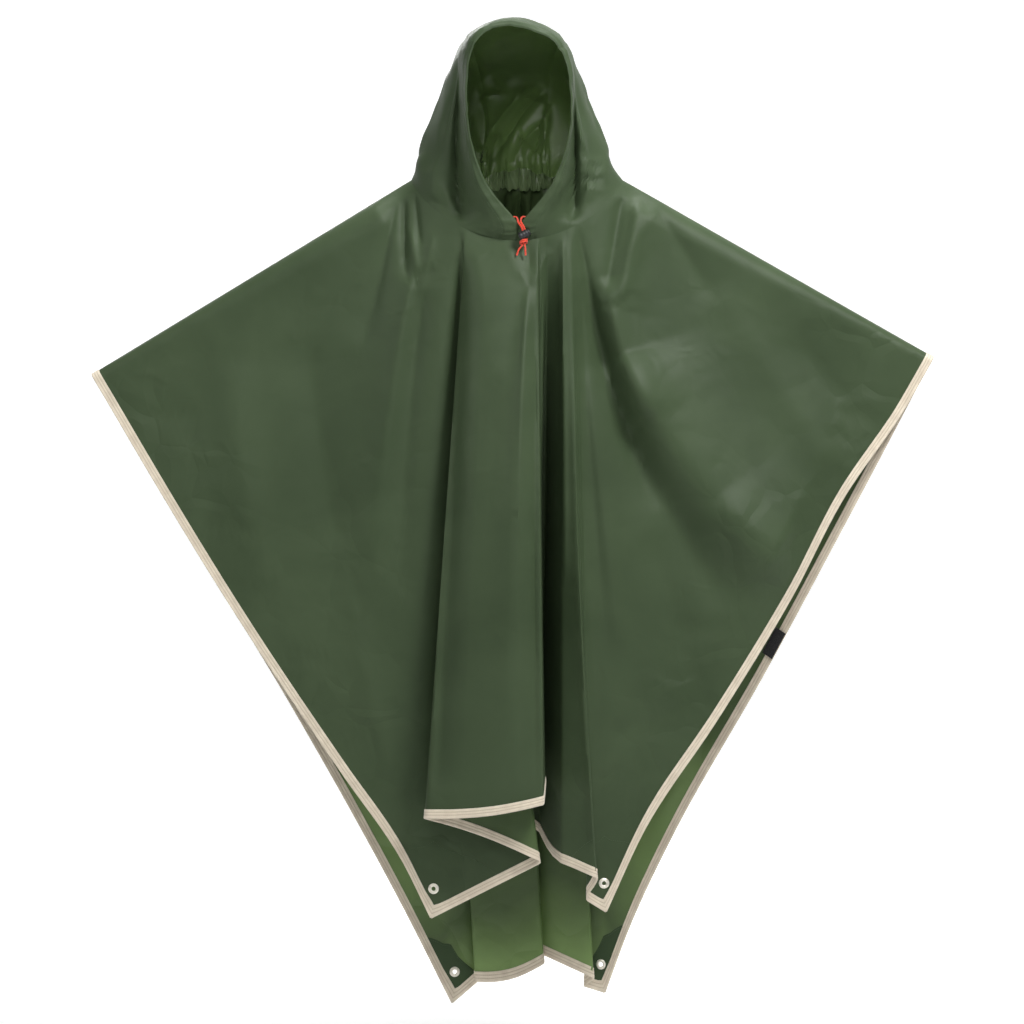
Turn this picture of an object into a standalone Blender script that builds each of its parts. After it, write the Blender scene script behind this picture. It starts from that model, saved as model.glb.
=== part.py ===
"""Hooded rain poncho, filled out as if worn: one rectangular body cloth with a
neck hole, folded over the shoulders, a three-piece hood, taped edges, corner
patches with eyelets, closure tabs, and a drawcord with its stopper.

Metres, +Z up, front towards -Y.  The origin is the middle of the neck hole,
at shoulder height, where the wearer carries the garment.
"""
import math
from collections import namedtuple

import bmesh
import bpy
import mathutils
import numpy as np

# ------------------------------------------------------------------ sizes
BODY_WIDTH = 1.50          # cut of the body cloth, side edge to side edge
FRONT_DROP = 1.04          # shoulder fold to front hem
BACK_DROP = 1.19           # shoulder fold to back hem
CLOTH = 0.0015             # wall of the body and hood cloth
GAP = 0.0003               # clearance between neighbouring pieces
TAPE_WIDTH = 0.0135        # edge binding, each side of the cloth
TAPE_WALL = 0.0010
TAPE_LIFT = 0.0005         # clearance under the tape, where cloth facets turn

# neck hole: the line that the hood is sewn to
NECK_CENTRE_X = 0.008
NECK_HALF_WIDTH = 0.170
NECK_HALF_DEPTH = 0.085
NECK_HEIGHT = 0.011
NECK_FRONT_DIP = 0.104
NECK_CUT_RADIUS = 0.125    # the same hole on the flat cloth

# the shoulder fold runs straight to each tip, over a hollow as wide as an arm
TIP_LEFT = (-0.677, 0.0, -0.302)
TIP_RIGHT = (0.679, 0.0, -0.274)
ARM_RADIUS_NECK = 0.046
ARM_RADIUS_TIP = 0.012
ARM_FADE = 0.25            # the arm's bulge dies out over this height

EYELET_HOLE_RADIUS = 0.0034
EYELET_BARREL_RADIUS = 0.0042
EYELET_FLANGE_RADIUS = 0.0084
EYELET_LIFT = 0.0007       # clearance under a flange, where cloth facets turn
EYELET_RIM = 0.0011        # thickness of a flange
EYELET_OUTER_CHAMFER = 0.0012
EYELET_INNER_CHAMFER = 0.0008
CUTTER_LENGTH = 0.012      # of the round cutters that punch a wall
EYELET_SIDE_INSET = 0.026  # from the side edge at a corner
EYELET_HEM_INSET = 0.033   # from the hem
PATCH_RADIUS = 0.118
PATCH_WALL = 0.0010
PATCH_LIFT = 0.0006        # clearance under a patch, where cloth facets turn

CLOSURE_LENGTH = 0.048
CLOSURE_WIDTH = 0.020
CLOSURE_WALL = 0.0018
CLOSURE_DROP = 0.54        # down the side edge from the tip

CASING_START = 0.60        # share of the first mesh step above the throat left open

CORD_RADIUS = 0.0015
STOPPER_CENTRE = (0.01825, -0.0990, -0.0860)
STOPPER_RADIUS = 0.0055
STOPPER_LENGTH = 0.0150
STOPPER_TILT = math.radians(28)
STOPPER_BEVEL = 0.0008
BUTTON_RADIUS = 0.0042
BUTTON_LENGTH = 0.0035
SLOT_HEIGHT = 0.040        # of the cutter that makes the stopper's slot
STRAND_SPACING = 0.0036    # between the two strands in the stopper
KNOT_HEIGHT = -0.0970
KNOT_WRAP = 0.0052         # radius of the turn that ties the strands together
KNOT_HALF_HEIGHT = 0.0034

# share of the way from neck to hem at which a row of the mesh lies; one more
# row runs along the inner edge of the tape, before the last
BODY_ROWS = (0.0, 0.08, 0.20, 0.38, 0.62, 0.87, 1.0)
# distances from the tip down a side edge at which a column of the mesh starts;
# two more lie where the corner's patch ends and halfway to there
SIDE_COLUMNS = (0.0, 0.012, 0.04, 0.09, 0.18, 0.33, CLOSURE_DROP - CLOSURE_LENGTH / 2,
                CLOSURE_DROP + CLOSURE_LENGTH / 2)

# ------------------------------------------------------------------ tables
# One row for each fold that runs from the neck to the hem.  x, z and the two
# depths (y of the layer that arrives and of the one that leaves) are its
# place on the hem, neck its bearing on the neck hole (0 left, 90 middle,
# 180 right), start the share of the way down where its layers begin to
# overlap, and loose_x its place on the hem before they do.  round is how far
# from the crease the cloth starts to turn, and run the number of extra mesh
# columns on the cloth after it.
Fold = namedtuple("Fold", "name x y_in y_out z neck start loose_x round run")
FRONT_FOLDS = (
    Fold("corner left", -0.128, -0.105, -0.105, -1.165, 54, 0.0, -0.128, 0, 1),
    Fold("first tuck", 0.044, -0.111, -0.129, -1.075, 57, 0.0, 0.044, 0.009, 1),
    Fold("pleat left", -0.137, -0.147, -0.165, -1.002, 61, 0.0, -0.137, 0.009, 0),
    Fold("pleat crown", -0.030, -0.188, -0.188, -0.999, 84, 0.0, -0.030, 0.050, 0),
    Fold("pleat right", 0.049, -0.178, -0.178, -0.979, 101, 0.0, 0.049, 0.022, 0),
    Fold("valley left", 0.053, -0.092, -0.092, -0.955, 103, 0.10, 0.052, 0.007, 1),
    Fold("hidden one", -0.114, -0.090, -0.077, -0.935, 105, 0.10, 0.054, 0.006, 1),
    Fold("hidden two", 0.038, -0.075, -0.062, -0.930, 107, 0.10, 0.056, 0.006, 1),
    Fold("hidden three", -0.112, -0.060, -0.044, -0.935, 109, 0.10, 0.058, 0.007, 1),
    Fold("valley foot", 0.044, -0.034, -0.034, -1.035, 111, 0.10, 0.060, 0.008, 0),
    Fold("valley right", 0.078, -0.110, -0.110, -1.076, 115, 0.0, 0.078, 0.020, 0),
    Fold("small tuck", 0.134, -0.134, -0.121, -1.099, 120, 0.45, 0.116, 0.007, 0),
    Fold("tuck back", 0.118, -0.117, -0.105, -1.134, 122, 0.45, 0.124, 0.006, 1),
    Fold("corner right", 0.1486, -0.100, -0.100, -1.156, 126, 0.0, 0.1486, 0, 0),
)
BACK_FOLDS = (
    Fold("corner left", -0.0985, 0.090, 0.090, -1.330, 57, 0.0, -0.0985, 0, 1),
    Fold("tuck back left", -0.033, 0.100, 0.092, -1.274, 62, 0.80, -0.062, 0.006, 0),
    Fold("small tuck left", -0.0605, 0.084, 0.074, -1.292, 66, 0.80, -0.052, 0.006, 0),
    Fold("inner right", 0.0525, 0.080, 0.094, -1.261, 79, 0.0, 0.0525, 0.007, 1),
    Fold("outer left", -0.174, 0.114, 0.134, -1.165, 83, 0.0, -0.168, 0.010, 0),
    Fold("pipe one left", -0.150, 0.218, 0.218, -1.125, 86, 0.0, -0.140, 0.022, 0),
    Fold("pipe one right", -0.098, 0.224, 0.224, -1.115, 88, 0.0, -0.092, 0.022, 0),
    Fold("dip one", -0.056, 0.140, 0.140, -1.120, 90, 0.0, -0.054, 0.020, 0),
    Fold("pipe two left", -0.020, 0.226, 0.226, -1.110, 93, 0.0, -0.018, 0.022, 0),
    Fold("pipe two right", 0.040, 0.226, 0.226, -1.105, 95, 0.0, 0.040, 0.022, 0),
    Fold("dip two", 0.080, 0.140, 0.140, -1.115, 97, 0.0, 0.078, 0.020, 0),
    Fold("pipe three left", 0.114, 0.222, 0.222, -1.110, 100, 0.0, 0.110, 0.022, 0),
    Fold("pipe three right", 0.168, 0.212, 0.212, -1.120, 102, 0.0, 0.162, 0.022, 0),
    Fold("outer right", 0.208, 0.134, 0.114, -1.165, 105, 0.0, 0.202, 0.010, 1),
    Fold("inner left", 0.036, 0.122, 0.106, -1.2435, 109, 0.0, 0.036, 0.008, 1),
    Fold("small tuck right", 0.134, 0.074, 0.086, -1.287, 117, 0.50, 0.122, 0.006, 0),
    Fold("tuck back right", 0.119, 0.090, 0.100, -1.303, 119, 0.50, 0.126, 0.005, 0),
    Fold("corner right", 0.1527, 0.098, 0.098, -1.314, 123, 0.0, 0.1527, 0, 0),
)

# A side edge leaves the straight line from tip to corner by "out", away from
# the body, at this share of its length.
EdgePoint = namedtuple("EdgePoint", "share out")
FRONT_LEFT_EDGE = (EdgePoint(0, 0), EdgePoint(0.15, 0.005), EdgePoint(0.50, 0.007),
                   EdgePoint(0.74, -0.002), EdgePoint(0.90, -0.010), EdgePoint(1, 0))
FRONT_RIGHT_EDGE = (EdgePoint(0, 0), EdgePoint(0.10, 0.002), EdgePoint(0.26, -0.009),
                    EdgePoint(0.44, 0.0), EdgePoint(0.66, -0.003),
                    EdgePoint(0.86, -0.014), EdgePoint(1, 0))
BACK_LEFT_EDGE = (EdgePoint(0, 0), EdgePoint(0.20, -0.004), EdgePoint(0.55, -0.014),
                  EdgePoint(0.85, -0.009), EdgePoint(1, 0))
BACK_RIGHT_EDGE = (EdgePoint(0, 0), EdgePoint(0.25, -0.003), EdgePoint(0.50, -0.008),
                   EdgePoint(0.76, -0.020), EdgePoint(0.90, -0.014), EdgePoint(1, 0))

# The hood is a row of arches, each from the neck seam on the left over the
# crown to the neck seam on the right.  neck is the bearing of its feet from
# the middle of the front, centre its middle, lean how far its top is pushed
# sideways; each guide is (half width, y, z), and the crown (y, z).
Arch = namedtuple("Arch", "name neck centre lean throat jaw cheek seam crown")
HOOD_ARCHES = (
    Arch("rim", 0, 0.0115, -0.020, (0.000, -0.092, -0.070), (0.054, -0.106, 0.000),
         (0.080, -0.118, 0.095), (0.068, -0.121, 0.205), (-0.116, 0.241)),
    Arch("brow", 18, 0.0080, -0.012, (0.050, -0.092, -0.058), (0.078, -0.098, 0.005),
         (0.089, -0.100, 0.097), (0.080, -0.100, 0.212), (-0.098, 0.2565)),
    Arch("ear", 58, 0.0030, 0.0, (0.148, -0.034, 0.025), (0.138, -0.024, 0.068),
         (0.117, -0.020, 0.130), (0.080, -0.020, 0.234), (-0.020, 0.267)),
    Arch("rear", 100, 0.0040, 0.0, (0.147, 0.028, 0.045), (0.132, 0.042, 0.085),
         (0.109, 0.050, 0.140), (0.068, 0.045, 0.226), (0.045, 0.252)),
    Arch("back", 135, 0.0060, 0.0, (0.110, 0.075, 0.042), (0.102, 0.090, 0.082),
         (0.088, 0.101, 0.128), (0.056, 0.106, 0.178), (0.118, 0.188)),
    Arch("low", 152, 0.0070, 0.0, (0.070, 0.086, 0.028), (0.065, 0.097, 0.048),
         (0.058, 0.105, 0.073), (0.049, 0.113, 0.098), (0.125, 0.098)),
    Arch("nape", 164, 0.0080, 0.0, None, None, None, None, None),
)
HOOD_STEPS_ALONG = 3       # mesh steps from one arch to the next
HOOD_STEPS_OVER = 2        # mesh steps from one guide to the next

# Each end of the drawcord: out of the casing's mouth, over the throat, through
# the stopper and the knot, to its free end.
CORD_LEFT = (
    (-0.00207, -0.09216, -0.05719), (0.00630, -0.08945, -0.05700),
    (0.00890, -0.09250, -0.06150), (0.01030, -0.09720, -0.06650),
    (0.01645, -0.09900, -0.07650), (0.01645, -0.09900, -0.08600),
    (0.01645, -0.09900, -0.09700), (0.01627, -0.09900, -0.10200),
    (0.01063, -0.09900, -0.10950), (0.00750, -0.09850, -0.11850),
)
CORD_RIGHT = (
    (0.02525, -0.09216, -0.05719), (0.01670, -0.08945, -0.05700),
    (0.01410, -0.09250, -0.06150), (0.01470, -0.09720, -0.06650),
    (0.02005, -0.09900, -0.07650), (0.02005, -0.09900, -0.08600),
    (0.02005, -0.09900, -0.09700), (0.02023, -0.09900, -0.10200),
    (0.02099, -0.09900, -0.10950), (0.02150, -0.09850, -0.11850),
)

MATERIALS = {              # colour, roughness, metallic
    "cloth": ((0.055, 0.095, 0.045), 0.40, 0.0),
    "patch_cloth": ((0.045, 0.080, 0.038), 0.45, 0.0),
    "tape": ((0.68, 0.58, 0.44), 0.80, 0.0),
    "eyelet_metal": ((0.75, 0.72, 0.66), 0.30, 1.0),
    "hook_and_loop": ((0.015, 0.015, 0.017), 0.85, 0.0),
    "cord": ((0.80, 0.10, 0.06), 0.70, 0.0),
    "stopper_plastic": ((0.02, 0.02, 0.02), 0.40, 0.0),
}


# ------------------------------------------------------------------ helpers
def lerp(a, b, share):
    """Point at a share of the way from a to b."""
    return np.asarray(a, float) * (1 - share) + np.asarray(b, float) * share


def unit(vectors):
    """Vectors at length 1, along the last axis."""
    length = np.linalg.norm(vectors, axis=-1, keepdims=True)
    return vectors / np.maximum(length, 1e-12)


def smooth_table(rows, x):
    """Value at x of a smooth curve through (x, value) rows."""
    xs = [row[0] for row in rows]
    ys = [row[1] for row in rows]
    slopes = np.gradient(ys, xs)
    i = int(np.clip(np.searchsorted(xs, x) - 1, 0, len(xs) - 2))
    width = xs[i + 1] - xs[i]
    t = (x - xs[i]) / width
    return ((2 * t ** 3 - 3 * t ** 2 + 1) * ys[i] + (t ** 3 - 2 * t ** 2 + t) * width * slopes[i]
            + (3 * t ** 2 - 2 * t ** 3) * ys[i + 1] + (t ** 3 - t ** 2) * width * slopes[i + 1])


def catmull_rom(points, steps):
    """Points on a smooth curve through the given ones, steps to each span."""
    p = np.asarray(points, float)
    p = np.concatenate([[2 * p[0] - p[1]], p, [2 * p[-1] - p[-2]]])
    out = []
    for i in range(1, len(p) - 2):
        for t in np.arange(steps) / steps:
            out.append(0.5 * (2 * p[i] + (p[i + 1] - p[i - 1]) * t
                              + (2 * p[i - 1] - 5 * p[i] + 4 * p[i + 1] - p[i + 2]) * t ** 2
                              + (3 * p[i] - p[i - 1] - 3 * p[i + 1] + p[i + 2]) * t ** 3))
    out.append(p[-2])
    return np.array(out)


def material(name):
    """The named material, made on first use."""
    if name in bpy.data.materials:
        return bpy.data.materials[name]
    colour, roughness, metallic = MATERIALS[name]
    made = bpy.data.materials.new(name)
    made.use_nodes = True
    shader = made.node_tree.nodes["Principled BSDF"]
    shader.inputs["Base Color"].default_value = (*colour, 1.0)
    shader.inputs["Roughness"].default_value = roughness
    shader.inputs["Metallic"].default_value = metallic
    return made


def add_object(name, bm, material_name, smooth=True):
    """Closes a bmesh into an object with outward faces."""
    bmesh.ops.remove_doubles(bm, verts=bm.verts, dist=1e-5)
    bmesh.ops.dissolve_degenerate(bm, dist=1e-6, edges=bm.edges)
    bmesh.ops.recalc_face_normals(bm, faces=bm.faces)
    mesh = bpy.data.meshes.new(name)
    bm.to_mesh(mesh)
    bm.free()
    if smooth:
        mesh.shade_smooth()
        mesh.set_sharp_from_angle(angle=math.radians(40))
    made = bpy.data.objects.new(name, mesh)
    made.data.materials.append(material(material_name))
    bpy.context.scene.collection.objects.link(made)
    return made


def grid_normals(points):
    """Normals of a grid of points, across its columns and rows."""
    along = np.gradient(points, axis=0)
    down = np.gradient(points, axis=1)
    return unit(np.cross(along, down))


def wall(name, points, normals, thickness, material_name, mirrored=0):
    """A closed wall of even thickness with the grid as its middle.

    The first mirrored columns of cells are split along their other diagonal.
    """
    columns, rows = points.shape[:2]
    bm = bmesh.new()
    layers = []
    for side in (0.5, -0.5):
        places = points + normals * (thickness * side)
        layers.append([[bm.verts.new(places[i, j]) for j in range(rows)] for i in range(columns)])
    outer, inner = layers
    for i in range(columns - 1):
        for j in range(rows - 1):
            for layer in layers:
                a, b = layer[i][j], layer[i + 1][j]
                c, d = layer[i + 1][j + 1], layer[i][j + 1]
                if i < mirrored:
                    a, b, c, d = b, c, d, a
                bm.faces.new((a, b, c))
                bm.faces.new((a, c, d))
    ring = ([(i, 0) for i in range(columns)] + [(columns - 1, j) for j in range(1, rows)]
            + [(i, rows - 1) for i in range(columns - 2, -1, -1)]
            + [(0, j) for j in range(rows - 2, 0, -1)])
    for (i, j), (k, l) in zip(ring, ring[1:] + ring[:1]):
        bm.faces.new((outer[i][j], inner[i][j], inner[k][l], outer[k][l]))
    return add_object(name, bm, material_name)


def loft(name, sections, material_name):
    """A closed solid through rings of points, capped at both ends."""
    bm = bmesh.new()
    rings = [[bm.verts.new(point) for point in section] for section in sections]
    count = len(rings[0])
    for first, second in zip(rings, rings[1:]):
        for k in range(count):
            bm.faces.new((first[k], first[(k + 1) % count], second[(k + 1) % count], second[k]))
    bm.faces.new(rings[0][::-1])
    bm.faces.new(rings[-1])
    return add_object(name, bm, material_name)


# ------------------------------------------------------------------ neck
def neck_point(bearing, back):
    """Point of the neck hole at a bearing, 0 left, 90 middle, 180 right."""
    angle = math.radians(bearing)
    dip = 0.0 if back else NECK_FRONT_DIP * max(math.sin(angle), 0.0) ** 1.5
    y = NECK_HALF_DEPTH * math.sin(angle) * (1 if back else -1)
    return np.array([NECK_CENTRE_X - NECK_HALF_WIDTH * math.cos(angle), y, NECK_HEIGHT - dip])


# ------------------------------------------------------------------ body
class Panel:
    """One half of the body cloth, from the shoulder fold down to its hem.

    Columns of the grid run round its outer boundary, from the left tip down
    the side edge, along the hem and up to the right tip; rows run from the
    neck hole out to that boundary.
    """

    def __init__(self, back, drop, folds, left_edge, right_edge):
        self.back, self.drop, self.folds = back, drop, folds
        self.edges = {"left": left_edge, "right": right_edge}
        self.corners = {"left": np.array([folds[0].x, folds[0].y_in, folds[0].z]),
                        "right": np.array([folds[-1].x, folds[-1].y_in, folds[-1].z])}
        patched = drop - PATCH_RADIUS
        self.side_columns = SIDE_COLUMNS + ((SIDE_COLUMNS[-1] + patched) / 2, patched)
        self.build()

    def side_point(self, side, share):
        """Point of a side edge at a share of its length from the tip."""
        tip = np.array(TIP_LEFT if side == "left" else TIP_RIGHT)
        corner = self.corners[side]
        line = corner - tip
        outward = unit(np.array([line[2], 0.0, -line[0]])) * (1 if side == "left" else -1)
        return tip + line * share + outward * smooth_table(self.edges[side], share)

    def side_column(self, side, distance):
        """Neck point and edge point of the column at this distance from the tip."""
        corner_bearing = self.folds[0].neck if side == "left" else 180 - self.folds[-1].neck
        half = BODY_WIDTH / 2
        share = math.atan2(distance, half) / math.atan2(self.drop, half)
        bearing = corner_bearing * share
        if side == "right":
            bearing = 180 - bearing
        return neck_point(bearing, self.back), self.side_point(side, distance / self.drop)

    def section(self, level):
        """Plan of the folded stretch at a share of the way from neck to hem."""
        spread = self.depth_share(level)
        corners = []
        for index, fold in enumerate(self.folds):
            grown = max(0.0, (level - fold.start) / (1 - fold.start))
            x = fold.loose_x + (fold.x - fold.loose_x) * grown
            double = fold.y_in != fold.y_out
            for step, depth in enumerate((fold.y_in, fold.y_out) if double else (fold.y_in,)):
                neck = neck_point(fold.neck + (0.8 * step if double else 0), self.back)
                corners.append((index, np.array([neck[0] * (1 - level) + x * level,
                                                 neck[1] * (1 - spread) + depth * spread])))
        return self.rounded(corners)

    def rounded(self, corners):
        """Turns every crease of a plan section into a soft bend."""
        groups = {}
        for index, point in corners:
            groups.setdefault(index, []).append(point)
        out, heights = [], []
        last = len(self.folds) - 1
        for index, fold in enumerate(self.folds):
            first, final = groups[index][0], groups[index][-1]
            if fold.round == 0:
                out.append(first)
                leave = first
            else:
                before, after = groups[index - 1][-1], groups[index + 1][0]
                arrive = self.step_towards(first, before, fold.round)
                leave = self.step_towards(final, after, fold.round)
                turn = 3 if len(groups[index]) == 2 else 2
                handle = 4 / 3 if turn == 3 else 1.0
                a, b = lerp(arrive, first, handle), lerp(leave, final, handle)
                for t in np.linspace(0, 1, turn + 1):
                    out.append(arrive * (1 - t) ** 3 + 3 * a * t * (1 - t) ** 2
                               + 3 * b * t * t * (1 - t) + leave * t ** 3)
            heights += [fold.z] * (len(out) - len(heights))
            if index < last and fold.run:
                follower = self.folds[index + 1]
                target = groups[index + 1][0]
                stop = (target if follower.round == 0
                        else self.step_towards(target, final, follower.round))
                for step in range(1, fold.run + 1):
                    share = step / (fold.run + 1)
                    out.append(lerp(leave, stop, share))
                    heights.append(fold.z * (1 - share) + follower.z * share)
        return np.array(out), heights

    @staticmethod
    def step_towards(start, end, distance):
        """Point on the way from start to end, at most 45 percent along."""
        length = np.linalg.norm(end - start)
        return lerp(start, end, min(distance, 0.45 * length) / max(length, 1e-9))

    @staticmethod
    def depth_share(level):
        """Depth opens faster than width on the way down from the neck."""
        return 1 - (1 - level) ** 3

    def arm_depth(self, x, z):
        """Depth that an outstretched arm gives the cloth below the shoulder fold."""
        side = -1 if x < NECK_CENTRE_X else 1
        start = np.array([NECK_CENTRE_X + side * NECK_HALF_WIDTH, NECK_HEIGHT])
        tip = np.array((TIP_LEFT if side < 0 else TIP_RIGHT))[[0, 2]]
        line = tip - start
        length = np.linalg.norm(line)
        offset = np.array([x, z]) - start
        along = float(np.clip(offset @ line / length ** 2, 0, 1))
        below = abs(offset[0] * line[1] - offset[1] * line[0]) / length
        radius = ARM_RADIUS_NECK + (ARM_RADIUS_TIP - ARM_RADIUS_NECK) * along
        rise = min(below / radius, 1.0)
        return radius * math.sqrt(rise * (2 - rise)) * math.exp(-max(0.0, below - radius) / ARM_FADE)

    def point(self, neck, outer, plan, level):
        """A point of the cloth, with the arm's bulge added to its depth."""
        spread = self.depth_share(level)
        x, y = plan if plan is not None else (
            neck[0] * (1 - level) + outer[0] * level, neck[1] * (1 - spread) + outer[1] * spread)
        z = neck[2] * (1 - level) + outer[2] * level
        arm = self.arm_depth(x, z) * min(1.0, level / 0.12)
        sign = 1 if self.back else -1
        return np.array([x, sign * (abs(y) ** 3 + arm ** 3) ** (1 / 3), z])

    def build(self):
        """Works out the grid, its normals and its flat coordinates."""
        neck_plan = self.section(0.0)[0]
        hem, heights = self.section(1.0)
        travelled = np.concatenate([[0], np.cumsum(np.linalg.norm(np.diff(hem, axis=0), axis=1))])
        self.hem_length = travelled[-1]
        half = BODY_WIDTH / 2
        across = (travelled / travelled[-1] - 0.5) * BODY_WIDTH
        left = [(*self.side_column("left", d), None, (-half, d)) for d in self.side_columns]
        middle = []
        for k in range(len(hem)):
            bearing = math.acos(np.clip((NECK_CENTRE_X - neck_plan[k][0]) / NECK_HALF_WIDTH, -1, 1))
            middle.append((neck_point(math.degrees(bearing), self.back),
                           np.array([*hem[k], heights[k]]), k, (across[k], self.drop)))
        right = [(*self.side_column("right", d), None, (half, d))
                 for d in self.side_columns[::-1]]
        columns = left + middle + right
        self.flat = np.array([column[3] for column in columns])
        sections = {level: self.section(level)[0] for level in BODY_ROWS}
        points, levels = [], []
        for neck, outer, k, (u, v) in columns:
            slant = (half if k is None else self.drop) / math.hypot(u, v)
            taped = 1 - TAPE_WIDTH / (slant * np.linalg.norm(outer - neck))
            steps = (*BODY_ROWS[:-1], taped, 1.0)
            plans = [None if k is None else
                     (sections[level] if level in sections else self.section(level)[0])[k]
                     for level in steps]
            points.append([self.point(neck, outer, plan, level)
                           for plan, level in zip(plans, steps)])
            levels.append(steps)
        self.points, self.levels = np.array(points), np.array(levels)
        self.mirrored = len(columns) // 2
        for corner in (self.hem_range()[0], self.hem_range()[-1]):
            edge = self.points[corner, -1]
            mitre = edge + TAPE_WIDTH * (
                unit(self.points[corner - 1, -1] - edge) + unit(self.points[corner + 1, -1] - edge))
            self.points[corner, -2, [0, 2]] = mitre[[0, 2]]
        self.normals = grid_normals(self.points) * (1 if self.back else -1)
        for end in (0, -1):
            self.normals[end, :, 1] = 0
            self.normals[end] = unit(self.normals[end])

    def place(self, u, v):
        """Fractional column and row where the flat cloth has (u across, v down)."""
        scale = min(BODY_WIDTH / 2 / max(abs(u), 1e-9), self.drop / max(v, 1e-9))
        if scale * v >= self.drop - 1e-9:
            order = self.hem_range()
            column = np.interp(u * scale, self.flat[order, 0], order)
        else:
            order = self.side_range("left") if u < 0 else self.side_range("right")[::-1]
            column = np.interp(v * scale, self.flat[order, 1], order)
        reach = math.hypot(u, v)
        level = (reach - NECK_CUT_RADIUS) / (reach * scale - NECK_CUT_RADIUS)
        return column, self.row(column, level)

    def row(self, column, level):
        """Fractional row of a column at a share of the way from neck to hem."""
        i = int(min(column, len(self.levels) - 2))
        steps = lerp(self.levels[i], self.levels[i + 1], column - i)
        return np.interp(level, steps, np.arange(len(steps)))

    def surface(self, column, row):
        """Point of the faceted cloth, and its smooth normal, between grid points."""
        return self.between(self.points, column, row), unit(
            self.between(self.normals, column, row))

    def at(self, u, v):
        """Point and outward normal where the flat cloth has (u across, v down)."""
        return self.surface(*self.place(u, v))

    def hem_range(self):
        """Columns that end on the hem."""
        count = len(self.side_columns)
        return np.arange(count, len(self.flat) - count)

    def side_range(self, side):
        """Columns that end on a side edge, with the corner's own."""
        count = len(self.side_columns) + 1
        return np.arange(count) if side == "left" else np.arange(len(self.flat) - count,
                                                                 len(self.flat))

    def between(self, grid, column, row):
        """Value on the two triangles of a grid cell."""
        i = int(min(column, grid.shape[0] - 2))
        j = int(min(row, grid.shape[1] - 2))
        s, t = column - i, row - j
        left, right = grid[i], grid[i + 1]
        if i < self.mirrored:
            s, left, right = 1 - s, right, left
        start, end = left[j], right[j + 1]
        if s > t:
            return start * (1 - s) + right[j] * (s - t) + end * t
        return start * (1 - t) + left[j + 1] * (t - s) + end * s


def make_panel(name, panel):
    """The panel's wall, clear of the hood at the neck and of its twin at the fold."""
    points = panel.points.copy()
    outward = unit(points[:, 1] - points[:, 0])
    points[:, 0] += outward * (2 * GAP)
    sign = 1 if panel.back else -1
    for end in (0, -1):
        points[end, :, 1] += sign * GAP / 2
    return wall(name, points, panel.normals, CLOTH, "cloth", panel.mirrored)


# ------------------------------------------------------------------ tape
def tape_ring(panel, column, shift=0.0):
    """Section of the folded tape on one column's edge: legs out and in, and its turn."""
    edge, inner = panel.points[column, -1] + shift, panel.points[column, -2] + shift
    edge_normal, inner_normal = panel.normals[column, -1], panel.normals[column, -2]
    inward = unit(inner - edge)
    close = CLOTH / 2 + TAPE_LIFT
    far = close + TAPE_WALL
    outside, within = edge - inward * (GAP + TAPE_WALL), edge - inward * GAP
    return [inner + inner_normal * far, outside + edge_normal * far,
            outside - edge_normal * far, inner - inner_normal * far,
            inner - inner_normal * close, within - edge_normal * close,
            within + edge_normal * close, inner + inner_normal * close]


def tape_solid(name, rings, straight):
    """Closes rings of tape into a solid whose facets match the cloth's."""
    bm = bmesh.new()
    loops = [[bm.verts.new(point) for point in ring] for ring in rings]
    count = len(loops[0])
    for first, second, rising in zip(loops, loops[1:], straight):
        for k in range(count):
            n = (k + 1) % count
            if (k in (0, 4)) == rising:
                bm.faces.new((first[k], first[n], second[n]))
                bm.faces.new((first[k], second[n], second[k]))
            else:
                bm.faces.new((first[k], first[n], second[k]))
                bm.faces.new((first[n], second[n], second[k]))
    bm.faces.new(loops[0][::-1])
    bm.faces.new(loops[-1])
    return add_object(name, bm, "tape")


def make_hem_tape(name, panel):
    """Tape along a hem, mitred against the side tapes."""
    columns = panel.hem_range()
    rings = []
    for column in columns:
        shift = 0.0
        for end, neighbour in ((columns[0], 1), (columns[-1], -1)):
            if column == end:
                shift = 3 * GAP * unit(panel.points[end + neighbour, -1] - panel.points[end, -1])
        rings.append(tape_ring(panel, column, shift))
    return tape_solid(name, rings, [column >= panel.mirrored for column in columns[:-1]])


def make_side_tape(name, side, front, back):
    """Tape up one side edge of the back, round the tip and down the front."""
    rings, straight = [], []
    for panel, upwards in ((back, True), (front, False)):
        columns = list(panel.side_range(side))
        if (side == "left") == upwards:
            columns.reverse()
        if rings:
            columns = columns[1:]
        rings += [tape_ring(panel, column) for column in columns]
        straight += [upwards] * (len(rings) - 1 - len(straight))
    return tape_solid(name, rings, straight)


# ------------------------------------------------------------------ corners
def corner_sign(side):
    """Side of the flat cloth that a corner is on."""
    return -1 if side == "left" else 1


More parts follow.
